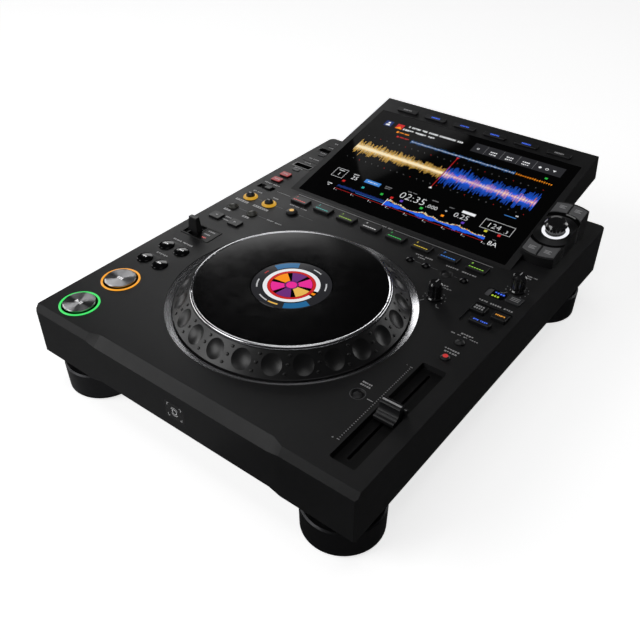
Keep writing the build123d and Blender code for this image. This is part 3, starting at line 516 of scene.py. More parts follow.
def arc(bm, plane, u, v, r0, r1, a0=0.0, a1=360.0, n=64, out=INK_OUT):
    """A flat ring, or a part of one, between two radii."""
    whole = abs(a1 - a0) >= 360
    steps = max(3, int(n * abs(a1 - a0) / 360))
    columns = []
    for i in range(steps if whole else steps + 1):
        t = radians(a0 + (a1 - a0) * i / steps)
        section = ((r0, -INK_IN), (r1, -INK_IN), (r1, out), (r0, out))
        columns.append([bm.verts.new(plane(u + r * cos(t), v + r * sin(t), w)) for r, w in section])
    tube_of(bm, columns, whole)


def ribbon(bm, plane, points, out=INK_OUT):
    """A closed band between a lower and an upper line: points are (u, low, high)."""
    columns = []
    for u, low, high in points:
        section = ((low, -INK_IN), (high, -INK_IN), (high, out), (low, out))
        columns.append([bm.verts.new(plane(u, v, w)) for v, w in section])
    tube_of(bm, columns)


def triangle(bm, plane, u, v, size, to):
    """A small solid triangle that points along u, to +1 or -1."""
    half = size / 2
    pts = [(u - to * half, v - half), (u + to * half, v), (u - to * half, v + half)]
    prism(bm, plane, pts if to > 0 else pts[::-1])


def figures(bm, plane, text, u, v, size, thin=0.0):
    """Plain figures about u, v; thin takes that share of their size off each side of a stroke."""
    curve = bpy.data.curves.new("figures", "FONT")
    curve.body, curve.size, curve.align_x, curve.align_y = text, size, "CENTER", "CENTER"
    curve.resolution_u, curve.extrude, curve.offset = 2, (INK_OUT + INK_IN) / 2, -thin * size
    obj = new_object("figures", curve)
    bpy.context.view_layer.update()
    mesh = bpy.data.meshes.new_from_object(obj.evaluated_get(bpy.context.evaluated_depsgraph_get()))
    bpy.data.objects.remove(obj)
    bpy.data.curves.remove(curve)
    piece = bmesh.new()
    piece.from_mesh(mesh)
    bmesh.ops.remove_doubles(piece, verts=piece.verts, dist=1e-4)
    lift = (INK_OUT - INK_IN) / 2
    new = {x.index: bm.verts.new(plane(u + x.co.x, v + x.co.y, x.co.z + lift)) for x in piece.verts}
    for f in piece.faces:
        try:
            bm.faces.new([new[x.index] for x in f.verts])
        except ValueError:  # a face that the figure has twice
            pass
    piece.free()
    bpy.data.meshes.remove(mesh)


WORD_GAP = 0.8  # in letter places


def letter_places(lengths):
    return sum(lengths) + (len(lengths) - 1) * WORD_GAP


def label(bm, plane, u0, u1, v, lengths, height, seed):
    """A legend too small to read, from u0 to u1, in words of those lengths: a block for each letter."""
    rnd = Random(seed)
    step = (u1 - u0) / letter_places(lengths)
    x = u0
    for n in lengths:
        for _ in range(n):
            w = step * rnd.uniform(0.55, 0.8)
            low = height * rnd.choice((0.5, 0.5, 0.5, 0.2))
            bar(bm, plane, x + step * 0.1, v - low, x + step * 0.1 + w, v + height / 2)
            x += step
        x += step * WORD_GAP


def legend(bm, plane, u, v, lengths, height, step, seed):
    """The same about u, with that step from letter to letter."""
    half = letter_places(lengths) * step / 2
    label(bm, plane, u - half, u + half, v, lengths, height, seed)


# ---- print on the deck ----
white = ink("print_white", (0.62, 0.62, 0.63))
# black print, also used as the painted shade of the screws' cross recesses
black = ink("black_print_and_painted_shade", (0.002, 0.002, 0.002), 0.3)
WHITE = sheet_of("deck_print", white)
GREY = sheet_of("deck_lines", ink("print_grey", (0.2, 0.2, 0.21)))
BLACK = sheet_of("deck_black", black)
DECK = level(0, 0, 0)
# from x, to x, y, word lengths, height
DECK_LEGENDS = [
    (-149.4, -124.8, 140.8, [5, 6], 1.9), (-144.4, -130.4, 114.8, [6], 1.9),
    (-152.6, -141.2, 257.6, [2, 3], 1.7), (-126.2, -119.3, 257.6, [3], 1.7),
    (-104.0, -82.3, 257.5, [6, 4], 1.7), (-138.6, -131.0, 200.8, [4], 1.7),
    (-138.6, -131.0, 195.6, [4], 1.7), (-102.7, -84.3, 220.4, [4, 4], 1.7),
    (-156.5, -136.0, 279.5, [5, 4], 1.9), (-7.5, 5.7, 278.9, [3, 3], 2.0), (44.9, 63.1, 256.9, [4, 4], 1.6),
    (49.4, 57.1, 253.4, [4], 1.5), (76.5, 89.2, 256.9, [6], 1.6), (92.6, 107.2, 256.9, [6], 1.6),
    (88.1, 95.3, 228.8, [3], 1.6), (83.0, 100.0, 225.6, [7], 1.4), (124.1, 155.5, 229.6, [4, 5, 4], 1.9),
    (134.9, 146.2, 179.9, [5], 1.7), (127.7, 151.9, 176.7, [2, 2, 2, 4], 1.0),
    (133.4, 146.7, 156.8, [6], 1.6), (134.9, 146.2, 153.3, [5], 1.6), (105.6, 114.7, 85.9, [5], 1.5),
    (105.6, 114.7, 82.9, [5], 1.5), (140.8, 151.0, 285.8, [4, 3], 1.6), (142.5, 146.7, 282.3, [3], 1.5),
    (-153.6, -140.3, 352.1, [3, 5], 1.7), (-151.1, -142.5, 340.6, [4], 1.5),
    (-152.4, -141.7, 324.7, [5], 1.7), (-152.4, -147.0, 398.2, [2], 1.7), (-152.0, -145.5, 386.0, [3], 1.5),
    (-151.8, -143.0, 369.9, [4], 1.6),
]
BLOCK_LEGENDS = [(-155.3, -139.1, 233.7, [5], 3.0), (-132.1, -112.9, 233.7, [6], 3.0),
                 (-151.0, -142.9, 211.3, [2], 2.7), (-126.5, -118.4, 211.3, [2], 2.7)]
# from x, to x, y
GREY_RULES = [(-137.2, -131.2, 245.9), (-112.2, -104.2, 245.9), (-83.1, -66.1, 245.9),
              (-140.3, -128.7, 220.3), (-115.2, -103.7, 220.3), (51.3, 57.3, 245.8),
              (67.3, 74.3, 245.8), (91.4, 94.4, 245.8)]


def deck_legends():
    """White legends, and white blocks with black ones."""
    for i, (u0, u1, v, lengths, height) in enumerate(DECK_LEGENDS):
        label(WHITE, DECK, u0, u1, v, lengths, height, seed=i + 2)
    for u0, u1, v, lengths, height in BLOCK_LEGENDS:
        bar(WHITE, DECK, u0, v - height / 2, u1, v + height / 2)
        label(BLACK, DECK.lifted(0.05), u0 + 1.2, u1 - 1.2, v, lengths, height * 0.5, seed=int(v))


def deck_lines():
    """Grey lines beside legends, white ones behind the hot cues, black dashes, and a ring."""
    for u0, u1, v in GREY_RULES:
        rule(GREY, DECK, u0, u1, v, 0.35)
    rule(WHITE, DECK, -110.2, -8.9, 279.2, 0.5)
    rule(WHITE, DECK, 7.1, 111.4, 279.2, 0.5)
    rule(WHITE, DECK, -131.2, -114.2, 269.9, 0.4)
    for v in (136.1, 109.6):
        rule(BLACK, DECK, -145.3, -134.2, v, 0.8)
    for v in (345.4, 390.5):
        bar(BLACK, DECK, -149.0, v - 0.5, -145.0, v + 0.5)
    arc(GREY, DECK, 110.5, 72.8, 5.7, 5.95)


def tempo_scale():
    """Dots along the fader's travel, longer at its ends, with a line at the middle."""
    x, low, high, steps = 125.7, 28.4, 120.7, 40
    for i in range(steps + 1):
        y = low + (high - low) * i / steps
        half = 1.1 if i in (0, steps) else 0.45
        bar(WHITE, DECK, x - half, y - 0.24, x + half, y + 0.24)
    rule(WHITE, DECK, 118.9, 123.9, 72.4, 0.6)
    figures(WHITE, DECK, "+", 121.6, 27.5, 3.4)
    figures(WHITE, DECK, "-", 121.6, 121.5, 3.4)


def dial_scale(x, y):
    """Dots round a dial, and a hook at each end of its travel."""
    for i in range(11):
        a = radians(-50 + i * 28)
        disc(WHITE, DECK, x + 9.6 * cos(a), y + 9.6 * sin(a), 0.4, 10)
    for to in (-1, 1):
        bend = (x + to * 8.0, y - 10.6)
        line(WHITE, DECK, (x + to * 6.4, y - 8.2), bend, 0.4)
        line(WHITE, DECK, bend, (x + to * 10.5, y - 10.6), 0.4)


def mode_plate():
    """The gloss plate let into the deck, with its grey end."""
    plane = over("mode_plate")
    plate = sheet_of("mode_plate", gloss("plate_gloss", (0.0015, 0.0015, 0.0017), 0.08))
    end = sheet_of("mode_plate_end", plastic("plate_end", (0.12, 0.12, 0.125), 0.5))
    bar(plate, plane, 128.0, 238.5, 141.0, 250.5)
    bar(end, plane, 123.4, 238.5, 127.9, 250.5)


def front_patch():
    """A polished patch on the front face, with corner marks and broken rings."""
    plane = upright(at(*FRONT_PATCH), (0, -1, 0))
    bar(sheet_of("front_patch", gloss("patch_gloss", (0.003, 0.003, 0.0032), 0.06)), plane, -10, -8, 10, 8)
    plane = plane.lifted(0.05)
    for su in (-1, 1):
        for sv in (-1, 1):
            for pu, pv in (((5.5, 7.5), (6.2, 6.6)), ((7.1, 7.5), (4.2, 6.6))):
                u0, u1 = sorted((su * pu[0], su * pu[1]))
                v0, v1 = sorted((sv * pv[0], sv * pv[1]))
                bar(WHITE, plane, u0, v0, u1, v1)
    arc(WHITE, plane, 0, 0, 2.0, 2.6, n=32)
    for start in (30, 210):
        arc(WHITE, plane, 0, 0, 3.6, 4.1, start, start + 120, n=48)


def lever_window():
    """What the lever's legends lie on."""
    window = sheet_of("lever_window", gloss("window_gloss", (0.0012, 0.0012, 0.0013), 0.3, 0.12))
    bar(window, over("lever_window"), -134.9, 155.6, -120.8, 172.8)


deck_legends()
deck_lines()
tempo_scale()
for place in (JOG_FEEL, STOP_SPEED):
    dial_scale(*place)
mode_plate()
front_patch()
lever_window()

# ---- marks on the keys, which ride on them ----
# white print with a painted glow: it shines though no lamp is behind it
painted_glow_print = ink("print_white_painted_glow", (0.75, 0.75, 0.75), 0.4, 0.8)
yellow = lamp("lit_yellow", (0.8, 0.42, 0.04), 0.8, (0.3, 0.2, 0.03))
red = lamp("lit_red", (0.7, 0.05, 0.05), 0.7, (0.3, 0.02, 0.02))
blue = lamp("lit_blue", (0.06, 0.15, 0.85), 1.0, (0.02, 0.05, 0.3))
green_yellow = lamp("lit_green_yellow", (0.5, 0.7, 0.05), 0.8, (0.15, 0.2, 0.02))
orange = lamp("lit_orange", (0.95, 0.4, 0.05), 0.8, (0.3, 0.12, 0.02))


def key(name, material=white, body=None, top=None):
    """What a key's marks are drawn on: their mesh, which rides on the key, and the plane of its top."""
    return sheet_of("mark_" + name, material, (body or name + "_key") + "_body"), over(top or name)


def hot_cue_marks():
    """A figure and a row of six dashes on each hot cue key, in its own colour."""
    middle, step = 1.9, 28.55
    plane = over("hot_cue")
    for i, (letter, colour) in enumerate(HOT_CUES.items()):
        light = lamp("hot_light_" + letter, colour, 1.0, times(colour, 0.3))
        bm = sheet_of("hot_cue_mark_" + letter, light, "hot_cue_" + letter + "_body")
        x = middle + (i - (len(HOT_CUES) - 1) / 2) * step
        figures(bm, plane, str(i + 1), x - 6.6, 270.8, 3.4)
        for k in range(6):
            bar(bm, plane, x - 7.4 + k * 2.5, 264.8, x - 5.6 + k * 2.5, 265.8)


def arrow_marks(side, to, x, jump_x):
    """Arrows on the search, track and beat jump keys of one side."""
    bm, plane = key("search_" + side, painted_glow_print, top="search")
    for k in (-1, 1):
        triangle(bm, plane, x + k * 1.1, 101.4, 2.1, to)
    bm, plane = key("track_" + side, painted_glow_print, top="track")
    y = 128.1
    triangle(bm, plane, x - 1.0 * to, y, 2.0, to)
    triangle(bm, plane, x + 0.9 * to, y, 2.0, to)
    bar(bm, plane, x + to * 2.3 - 0.3, y - 1.0, x + to * 2.3 + 0.3, y + 1.0)
    bm, plane = key("jump_" + side, white, "beat_jump_" + side + "_key", "jump")
    triangle(bm, plane, jump_x, 195.8, 2.6, to)


def play_and_cue_marks():
    bm, plane = key("play", painted_glow_print, "play_button")
    x, y = PLAY
    triangle(bm, plane, x - 2.3, y, 3.6, 1)
    for k in (0.5, 2.2):
        bar(bm, plane, x + k, y - 1.8, x + k + 0.9, y + 1.8)
    x, y = CUE
    label(*key("cue", painted_glow_print, "cue_button"), x - 3.4, x + 3.4, y, [3], 2.8, seed=33)


def loop_marks():
    """Lit dots on reloop and master tempo, and legends on loop in and loop out."""
    y = 245.0
    disc(*key("reloop", yellow), -91.6, y, 2.4)
    disc(*key("master_tempo", red), 140.3, 145.8, 2.2)
    for k, (name, x) in enumerate((("loop_in", -145.8), ("loop_out", -121.1))):
        label(*key(name, top="loop"), x - 1.6, x + 1.6, y, [2 + k], 1.4, seed=34 + k)


def key_legends():
    for v, n in ((288.9, 20), (303.2, 21)):
        legend(*key("page", body="page_keys"), -147.3, v, [5], 1.3, 1.2, seed=n)
    for v in (242.6, 244.7, 246.8):
        bar(*key("jog_mode"), 145.6, v - 0.35, 153.6, v + 0.35)
    for v, n in ((217.9, 23), (214.7, 24)):
        label(*key("beat_sync"), 127.0, 135.8, v, [4], 2.0, seed=n)
    label(*key("master", orange), 146.0, 154.8, 216.4, [6], 1.7, seed=25)
    label(*key("key_sync", blue), 134.2, 147.0, 200.4, [3, 4], 1.7, seed=26)


def mode_and_lever_legends():
    """Lit legends in the mode plate and in the lever's window."""
    plane = over("mode_words")
    label(sheet_of("mode_blue", blue), plane, 130.0, 139.4, 247.6, [4], 2.2, seed=39)
    label(sheet_of("mode_green", green_yellow), plane, 129.2, 136.8, 242.3, [3], 2.2, seed=40)
    plane = over("lever_words")
    label(sheet_of("lever_legend", white), plane, -132.3, -123.8, 170.0, [4], 1.7, seed=36)
    label(sheet_of("lever_legend", white), plane, -132.3, -125.0, 164.2, [4], 1.7, seed=37)
    label(sheet_of("lever_legend_red", red), plane, -130.4, -124.9, 158.6, [3], 1.9, seed=38)


def pointers():
    """A pointer on each dial, and lines along the fader's ridge and on its side tab."""
    for name, (x, y) in (("jog_feel", JOG_FEEL), ("stop_speed", STOP_SPEED)):
        bar(*key(name, body=name + "_knob", top="knob"), x - 0.4, y - 0.4, x + 0.4, y + 4.4)
    bm, ridge = key("tempo", body="fader", top="fader")
    bar(bm, ridge, 132.4, 70.95, 148.0, 72.65)
    bar(bm, over("fader_tab"), 148.1, 74.4, 150.3, 75.2)


def display_key_marks():
    """A lit legend on each of the six keys over the display: white on the outer two, blue between."""
    middle, step = 0.45, 36.1
    plane = sloped(at(0, DISPLAY_Y)).lifted(TOP["display_keys"])
    for i in range(6):
        colour, own = ("white", white) if i in (0, 5) else ("blue", blue)
        bm = sheet_of("mark_display_keys_" + colour, own, "display_keys_body")
        legend(bm, plane, middle + (i - 2.5) * step, 171.1, [7], 2.0, 1.5, seed=30 + i)


def selector_key_marks():
    """Three short dashes on each of the four keys round the selector."""
    plane = sloped(at(*SELECTOR)).lifted(TOP["selector_keys"])
    bm = sheet_of("mark_selector_keys", white, "selector_keys_body")
    for u in (-7.4, 7.5):
        for v in (-31.2, 31.2):
            for k in range(3):
                shorter = (k % 2) * 1.4
                bar(bm, plane, u - 3.2, v - 1.9 + k * 1.6, u + 3.2 - shorter, v - 1.2 + k * 1.6)


hot_cue_marks()
arrow_marks("back", -1, -145.5, -146.4)
arrow_marks("fwd", 1, -126.2, -122.0)
play_and_cue_marks()
loop_marks()
key_legends()
mode_and_lever_legends()
pointers()
display_key_marks()
selector_key_marks()


# ---- the jog wheel's grip ----
def grip_dots():
    """Rows of three raised dots between the grip's dimples."""
    dimples, first_dimple, tilt = 24, -135.3, radians(45)
    top_r, top_z, foot_r, foot_z = 84.2, 14.0, 98.7, -0.5
    sides, dome = 14, ((1.35, -0.3), (1.3, 0.35), (1.05, 0.62), (0.5, 0.78))
    bm = sheet_of("grip_dots", grip, "jog_wheel")
    for i in range(dimples):
        for share, turn in ((0.16, 1.0), (0.5, 0.0), (0.84, -1.0)):
            a = radians(first_dimple + 180 / dimples + i * 360 / dimples + turn * 1.25)
            r = top_r + (foot_r - top_r) * share
            z = top_z + (foot_z - top_z) * share
            out = Vector((cos(a) * sin(tilt), sin(a) * sin(tilt), cos(tilt)))
            along = Vector((-sin(a), cos(a), 0))
            plane = Plane(at(r * cos(a), JOG[1] + r * sin(a), z), along, out.cross(along), out)
            rings = [[bm.verts.new(plane(u, v, w)) for u, v in circle(dot_r, sides)] for dot_r, w in dome]
            tube_of(bm, rings)


grip_dots()

# ---- lit picture on the display: its own made-up layout of a waveform player ----
PICTURE = sloped(at(0, DISPLAY_Y)).moved(0, PICTURE_S, GLASS_UP)
# heights over the glass of what lies on what
FIELD, LAYER_1, LAYER_2, LAYER_3, CURSOR, MARKER = 0.03, 0.05, 0.065, 0.08, 0.09, 0.1


def lit(name, colour):
    """A sheet of screen light in one colour, with the faint grain of its cells."""
    k = Mat("screen_" + name, (0.002, 0.002, 0.0023), 0.07, 0.0, 0.5)
    cells = k.span(k.noise(2200, 1), 0.3, 0.7, 0, 1)
    k.glow(k.mix(cells, times(colour, 0.86), colour), 1.0)
    return sheet_of("screen_" + name, k)


s_white = lit("white", (0.85, 0.86, 0.88))
s_grey = lit("grey", (0.22, 0.22, 0.23))
s_dark = lit("dark_grey", (0.022, 0.022, 0.025))
s_red = lit("red", (0.6, 0.02, 0.02))
s_orange = lit("orange", (1.0, 0.3, 0.01))
s_amber = lit("amber", (0.85, 0.5, 0.1))
s_cream = lit("cream", (0.95, 0.82, 0.55))
s_blue = lit("blue", (0.018, 0.12, 0.8))
s_sky = lit("sky", (0.06, 0.25, 0.7))
s_navy = lit("navy", (0.01, 0.03, 0.16))
s_green = lit("green", (0.03, 0.5, 0.06))
s_teal = lit("teal", (0.03, 0.4, 0.4))
s_yellow = lit("yellow", (0.65, 0.6, 0.05))
s_violet = lit("violet", (0.12, 0.05, 0.5))


def wave(bm, u0, u1, mid, reach, step, core, lift, seed, full=1.0):
    """Separate spikes about a middle line, joined by a core.

    Reach gives their half height along the band, core is the joined share of it, full is their width.
    """
    r = Random(seed)
    n = int((u1 - u0) / step)
    joined = []
    for i in range(n):
        u = u0 + (i + 0.5) * (u1 - u0) / n
        h = reach((u - u0) / (u1 - u0)) * (1.0 if i % 4 else 1.15)
        low, high = h * r.uniform(0.45, 1.0), h * r.uniform(0.45, 1.0)
        half = step * r.uniform(0.36, 0.5) * full
        tip = half * 0.3
        prism(bm, PICTURE, [(u - half, mid), (u - tip, mid - low), (u + tip, mid - low), (u + half, mid),
                            (u + tip, mid + high), (u - tip, mid + high)], lift)
        below, above = (max(h * core * r.uniform(0.5, 1.0), 0.1) for _ in range(2))
        joined.append((u, mid - below, mid + above))
    ribbon(bm, PICTURE, joined, lift - 0.005)


def block(bm, u0, v0, u1, v1, out=INK_OUT):
    """A filled rectangle of the picture."""
    bar(bm, PICTURE, u0, v0, u1, v1, out)


def outline_of(bm, u0, v0, u1, v1):
    """The lines round a rectangle of the picture."""
    w = 0.3
    block(bm, u0, v0, u1, v0 + w)
    block(bm, u0, v1 - w, u1, v1)
    block(bm, u0, v0 + w, u0 + w, v1 - w)
    block(bm, u1 - w, v0 + w, u1, v1 - w)


def caption(bm, u, v, lengths, height, step, seed):
    legend(bm, PICTURE, u, v, lengths, height, step, seed)


def number(text, u, v, size, thin=0.0):
    figures(s_white, PICTURE, text, u, v, size, thin)


def waveform():
    """The large waveform: played part in amber, what comes in blue, and a red line between them."""
    played, ahead, end = -106, 2.6, 104.5
    played_v, ahead_v = 86.5, 86.0

    def fade(t):
        return 13.0 - 4.0 * t

    wave(s_amber, played, 2.0, played_v, fade, 1.25, 0.3, LAYER_1, 1)
    wave(s_cream, played, 2.0, played_v, lambda t: fade(t) * 0.5, 1.25, 0.34, LAYER_2, 2, 0.8)
    wave(s_blue, ahead, end, ahead_v, lambda t: 15.4 + 0.8 * sin(t * 9), 1.3, 0.35, LAYER_1, 3)
    wave(s_orange, ahead, end, ahead_v, lambda t: 6.5 + 2.0 * sin(t * 40), 2.2, 0.04, LAYER_2, 4, 0.5)
    wave(s_cream, ahead, end, ahead_v, lambda t: 3.6 + 1.4 * sin(t * 31), 2.9, 0.07, LAYER_3, 5, 0.4)
    block(s_red, 2.45, 60, 2.95, 114.5, CURSOR)
    for bm, v, up in ((s_white, 61.5, 1), (s_red, 114.5, -1)):
        pts = [(0.9, v - up * 1.4), (4.5, v - up * 1.4), (2.7, v + up * 1.6)]
        prism(bm, PICTURE, pts if up > 0 else pts[::-1], MARKER)
    # beat marks above and below
    for i in range(27):
        x = -104 + i * 7.9
        for v in (107.5, 66.5):
            block(s_red if i % 4 == 2 else s_grey, x - 0.35, v - 0.35, x + 0.35, v + 0.35)
    # thin band above
    wave(s_sky, -57, 66, 118.6, lambda t: 2.9, 2.5, 0.03, LAYER_1, 6, 0.42)
    wave(s_white, -57, 66, 118.6, lambda t: 1.2, 4.1, 0.03, LAYER_2, 7, 0.3)
    wave(s_orange, 66, 106, 118.4, lambda t: 1.9, 2.5, 0.03, LAYER_1, 8, 0.42)


def heading():
    """A source symbol, a cover picture, the title's two rows and two short notes."""
    block(s_navy, -101.5, 131.8, -92.2, 141.0)
    disc(s_white, PICTURE, -96.8, 138.0, 1.5, 16, LAYER_2)
    prism(s_white, PICTURE, [(-99.6, 133.0), (-94.0, 133.0), (-94.9, 135.6), (-98.7, 135.6)], LAYER_2)
    block(s_red, -86.5, 132.4, -78.0, 140.6)
    prism(s_orange, PICTURE, [(-86.5, 132.4), (-78.0, 132.4), (-82.0, 136.8)], LAYER_2)
    label(s_white, PICTURE, -72.9, -5.6, 140.5, [1, 5, 3, 5, 9, 3], 2.7, seed=40)
    label(s_white, PICTURE, -76.8, -36.7, 134.0, [5, 5, 3], 2.7, seed=43)
    block(s_orange, -80.2, 125.4, -77.6, 128.4)
    caption(s_orange, -70.5, 127.0, [4, 4], 1.9, 1.35, seed=41)
    block(s_red, -75.5, 118.4, -73.0, 121.0)
    caption(s_red, -66.0, 119.8, [4, 4], 1.8, 1.3, seed=42)


def tabs():
    """A dark strip at the upper right, with three worded tabs and four symbols."""
    block(s_dark, 7.0, 132.0, 107.0, 146.7, FIELD)
    for x in (31.3, 49.6, 67.5):
        for v in (139.2, 135.4):
            caption(s_white, x, v, [4], 1.7, 2.0, seed=int(x + v))
    for x in (22.0, 40.6, 58.6, 76.6):
        block(s_grey, x - 0.15, 132.5, x + 0.15, 146.0)
    v = 138.4
    disc(s_white, PICTURE, 82.9, v, 1.5, 20, LAYER_1)
    arc(s_white, PICTURE, 90.3, v, 1.1, 1.7, n=24)
    prism(s_white, PICTURE, [(96.3, v + 1.4), (98.1, v - 1.4), (99.9, v + 1.4)])
    arc(s_white, PICTURE, 13.5, v, 0.9, 1.4, n=24)
    block(s_green, 94.6, 123.8, 97.4, 126.2)


def readings():
    """The row of numbers under the waveform: track, time, tempo, beats a minute and key."""
    outline_of(s_white, -100.6, 31.7, -86.8, 45.7)
    caption(s_white, -93.7, 43.0, [6], 1.2, 1.1, seed=50)
    number("1", -93.6, 37.0, 6.8, 0.008)
    number("25", -74.5, 38.2, 8.0, 0.008)
    caption(s_white, -75.5, 43.8, [5], 1.2, 1.3, seed=51)
    block(s_sky, -62.5, 37.6, -44.0, 43.0)
    caption(s_white, -53.2, 40.3, [8], 1.5, 1.5, seed=52)
    number("02:35", -3.4, 37.6, 13.6, 0.018)
    number(".000", 19.8, 35.4, 7.4, 0.012)
    number("+", 35.0, 36.8, 5.5)
    number("0.25", 51.9, 36.4, 9.4, 0.014)
    block(s_white, 49.0, 42.2, 63.0, 45.8)
    outline_of(s_white, 73.6, 32.3, 104.6, 45.7)
    number("124", 85.6, 38.4, 9.8, 0.02)
    number(".3", 99.0, 36.4, 6.0, 0.016)
    number("8A", 95.6, 16.4, 8.4, 0.01)
    caption(s_white, -93.2, 20.2, [5], 1.2, 1.2, seed=60)
    caption(s_white, -93.2, 17.6, [2], 1.2, 1.2, seed=61)
    small = ((-34.5, 42.0, [6], 1.3, 1.3), (-34.5, 39.4, [5], 1.3, 1.3), (-8.5, 45.6, [4, 4], 1.2, 1.2),
             (18.5, 45.0, [6], 1.2, 1.2), (37.6, 43.6, [5], 1.1, 1.1), (77.0, 44.4, [3], 1.1, 1.2),
             (94.6, 22.0, [3], 1.1, 1.2))
    for i, sizes in enumerate(small):
        caption(s_grey, *sizes, seed=53 + i)


def overview():
    """The whole track in one band: its played part dark, minute marks under it, cues over it."""
    start, now, end, mid = -84, -25.3, 86, 19.9

    def hill(t):
        swell = abs(sin(t * 9.4 + 0.9)) ** 1.6 * (0.45 + 0.55 * sin(t * 27 + 1) ** 2)
        return 1.2 + 3.6 * swell + 0.8 * (t < 0.08)

    wave(s_navy, start, now, 21.0, lambda t: 2.4, 1.2, 0.6, FIELD, 70)
    block(s_sky, -60, 18.6, now, 19.0, LAYER_2)
    wave(s_blue, now, end, mid, hill, 0.7, 0.75, LAYER_1, 71)
    rnd, peaks = Random(11), 92
    for i in range(peaks):
        x, h = -25 + i * 1.2, hill(i / peaks)
        top = mid + h * 0.9
        tall = rnd.uniform(0.3, 2.2) * (0.3 + h / 5)
        block(s_cream if i % 5 else s_orange, x, top - 0.3, x + 0.8, top + tall, LAYER_2)
    block(s_red, start, 16.0, end, 16.3)
    for i in range(9):
        x = start + i * 21.2
        block(s_white, x, 13.6, x + 0.5, 15.9)
        caption(s_grey, x + 3.0, 13.6, [2], 1.2, 1.2, seed=80 + i)
    block(s_white, -25.6, 15.4, -25.0, 26.4, CURSOR)
    for x, bm in ((-82.3, s_red), (-58, s_teal), (-35, s_green), (-23, s_red), (-11.5, s_violet),
                  (11.5, s_green), (35.2, s_orange), (57.4, s_violet), (81.8, s_yellow), (95.6, s_red)):
        block(bm, x - 1.5, 28.2, x + 1.5, 31.0)
    block(s_sky, 86.0, 57.6, 98.0, 58.3)
    caption(s_white, 97.5, 61.4, [2], 1.6, 1.5, seed=90)


waveform()
heading()
tabs()
readings()
overview()


# ---- the round display in the jog wheel: a made-up dial of rings and sectors ----
def round_picture():
    """Rings from the outside in, groups of ticks, and six sectors round a disc."""
    dial = level(*JOG, JOG_GLASS_Z)

    def ring(bm, *sizes, **more):
        arc(bm, dial, 0, 0, *sizes, **more)

    ring(s_dark, 24.6, 33.6, out=FIELD)
    ring(s_white, 20.4, 24.0, 12, 352, 96)
    ring(s_red, 17.6, 20.3, n=96)
    ring(s_orange, 20.6, 23.8, -2, 5, 96)
    steel_blue = lit("steel_blue", (0.02, 0.14, 0.32))
    for start in (116, -64):
        ring(steel_blue, 25.6, 32.4, start, start + 40, 96, LAYER_1)
    # groups of ticks: where each starts, how many
    for start, n in ((70, 8), (20, 9), (200, 10), (245, 9), (172, 4)):
        for k in range(n):
            a = start + k * 2.3
            ring(s_white if n > 5 else s_red, 28.2, 29.4, a, a + 1.4, 360)
    ring(s_amber, 28.0, 29.6, 268, 286, 180)
    pink = lit("pink", (0.85, 0.03, 0.32))
    purple = lit("purple", (0.16, 0.03, 0.2))
    for k, bm in enumerate((pink, purple, s_orange, pink, purple, s_amber)):
        ring(bm, 6.0, 17.3, 20 + k * 60, 66 + k * 60, 96)
    disc(pink, dial, 0, 0, 4.6, 36)
    ring(purple, 4.9, 5.7, n=48)


round_picture()

# ---- rear: legends, phono inserts and screws; underneath: screws ----
screw_steel = ink("screw_steel", (0.05, 0.05, 0.052), 0.35)
# x, height over the sockets' middle, word lengths, width
REAR_LEGENDS = [
    (112, 10.6, [2, 4], 12), (66, 10.6, [5], 9), (14, 10.6, [3], 6), (-14, 10.6, [4], 8),
    (PHONO_RED_X, 10.6, [1], 3), (PHONO_WHITE_X, 10.6, [1], 3), (-76, 13.6, [5, 3], 16),
    (DIGITAL_X, 10.6, [7, 3], 18), (-139, 10.6, [4], 8),
]


def rear_print():
    """Legends over the sockets, and a line over the two audio sockets."""
    bm = sheet_of("rear_print", white)
    for i, (x, rise, lengths, wide) in enumerate(REAR_LEGENDS):
        label(bm, rear(x, REAR_Z + rise), -wide / 2, wide / 2, 0, lengths, 1.8, seed=100 + i)
    rule(bm, rear(-76, REAR_Z + 12.2), -15, 15, 0, 0.3)


def phono_inserts():
    """Coloured rings in the ends of the phono sockets."""
    inserts = {"white": (PHONO_WHITE_X, (0.6, 0.6, 0.58)), "red": (PHONO_RED_X, (0.4, 0.02, 0.02)),
               "orange": (DIGITAL_X, (0.5, 0.2, 0.02))}
    for name, (x, colour) in inserts.items():
        bm = sheet_of("phono_insert_" + name, plastic("insert_" + name, colour, 0.4, 0.4))
        arc(bm, rear(x, REAR_Z, PHONO_FACE), 0, 0, 1.75, 3.5, n=40)


def screw(name, plane, u, v):
    """A pan-head screw, with its crossed recess drawn as painted shade: a black cross on its top."""
    bm = sheet_of(name, screw_steel)
    disc(bm, plane, u, v, 3.0, 28, 0.35)
    disc(bm, plane, u, v, 2.5, 28, 0.75)
    # painted shade: a flat black cross stands for the dark of the recess
    cross = sheet_of(name + "_cross", black)
    for half_u, half_v in ((1.5, 0.3), (0.3, 1.5)):
        bar(cross, plane, u - half_u, v - half_v, u + half_u, v + half_v, 0.79)


rear_print()
phono_inserts()
for x in (146, 84, 38, -40, -101, -128):
    screw("rear_screws", rear(0, REAR_Z), -x, 0)
underside = Plane(at(0, 0, BASE_Z), (1, 0, 0), (0, -1, 0), (0, 0, -1))
for x in (-148, -50, 50, 148):
    for y in (70, 205, 330):
        screw("base_screws", underside, x, -y)

for name in list(sheets):
    finish_sheet(name)


# ---- stage, in metres ----
def add_floor():
    """Pale paper that glows a little, so that it stays even; gloss doesn't show it."""
    grid = bmesh.new()
    bmesh.ops.create_grid(grid, x_segments=8, y_segments=8, size=6)
    mesh = bpy.data.meshes.new("floor")
    grid.to_mesh(mesh)
    grid.free()
    floor = new_object("floor", mesh)
    paper = Mat("floor_paper", (0.86, 0.86, 0.86), 0.9, 0.0, 0.2)
    paper.set("Base Color", paper.mix(paper.noise(3, 3), (0.85, 0.85, 0.85), (0.88, 0.88, 0.88)))
    paper.glow((1, 1, 1), 0.76)
    mesh.materials.append(paper.material)
    floor.visible_glossy = False


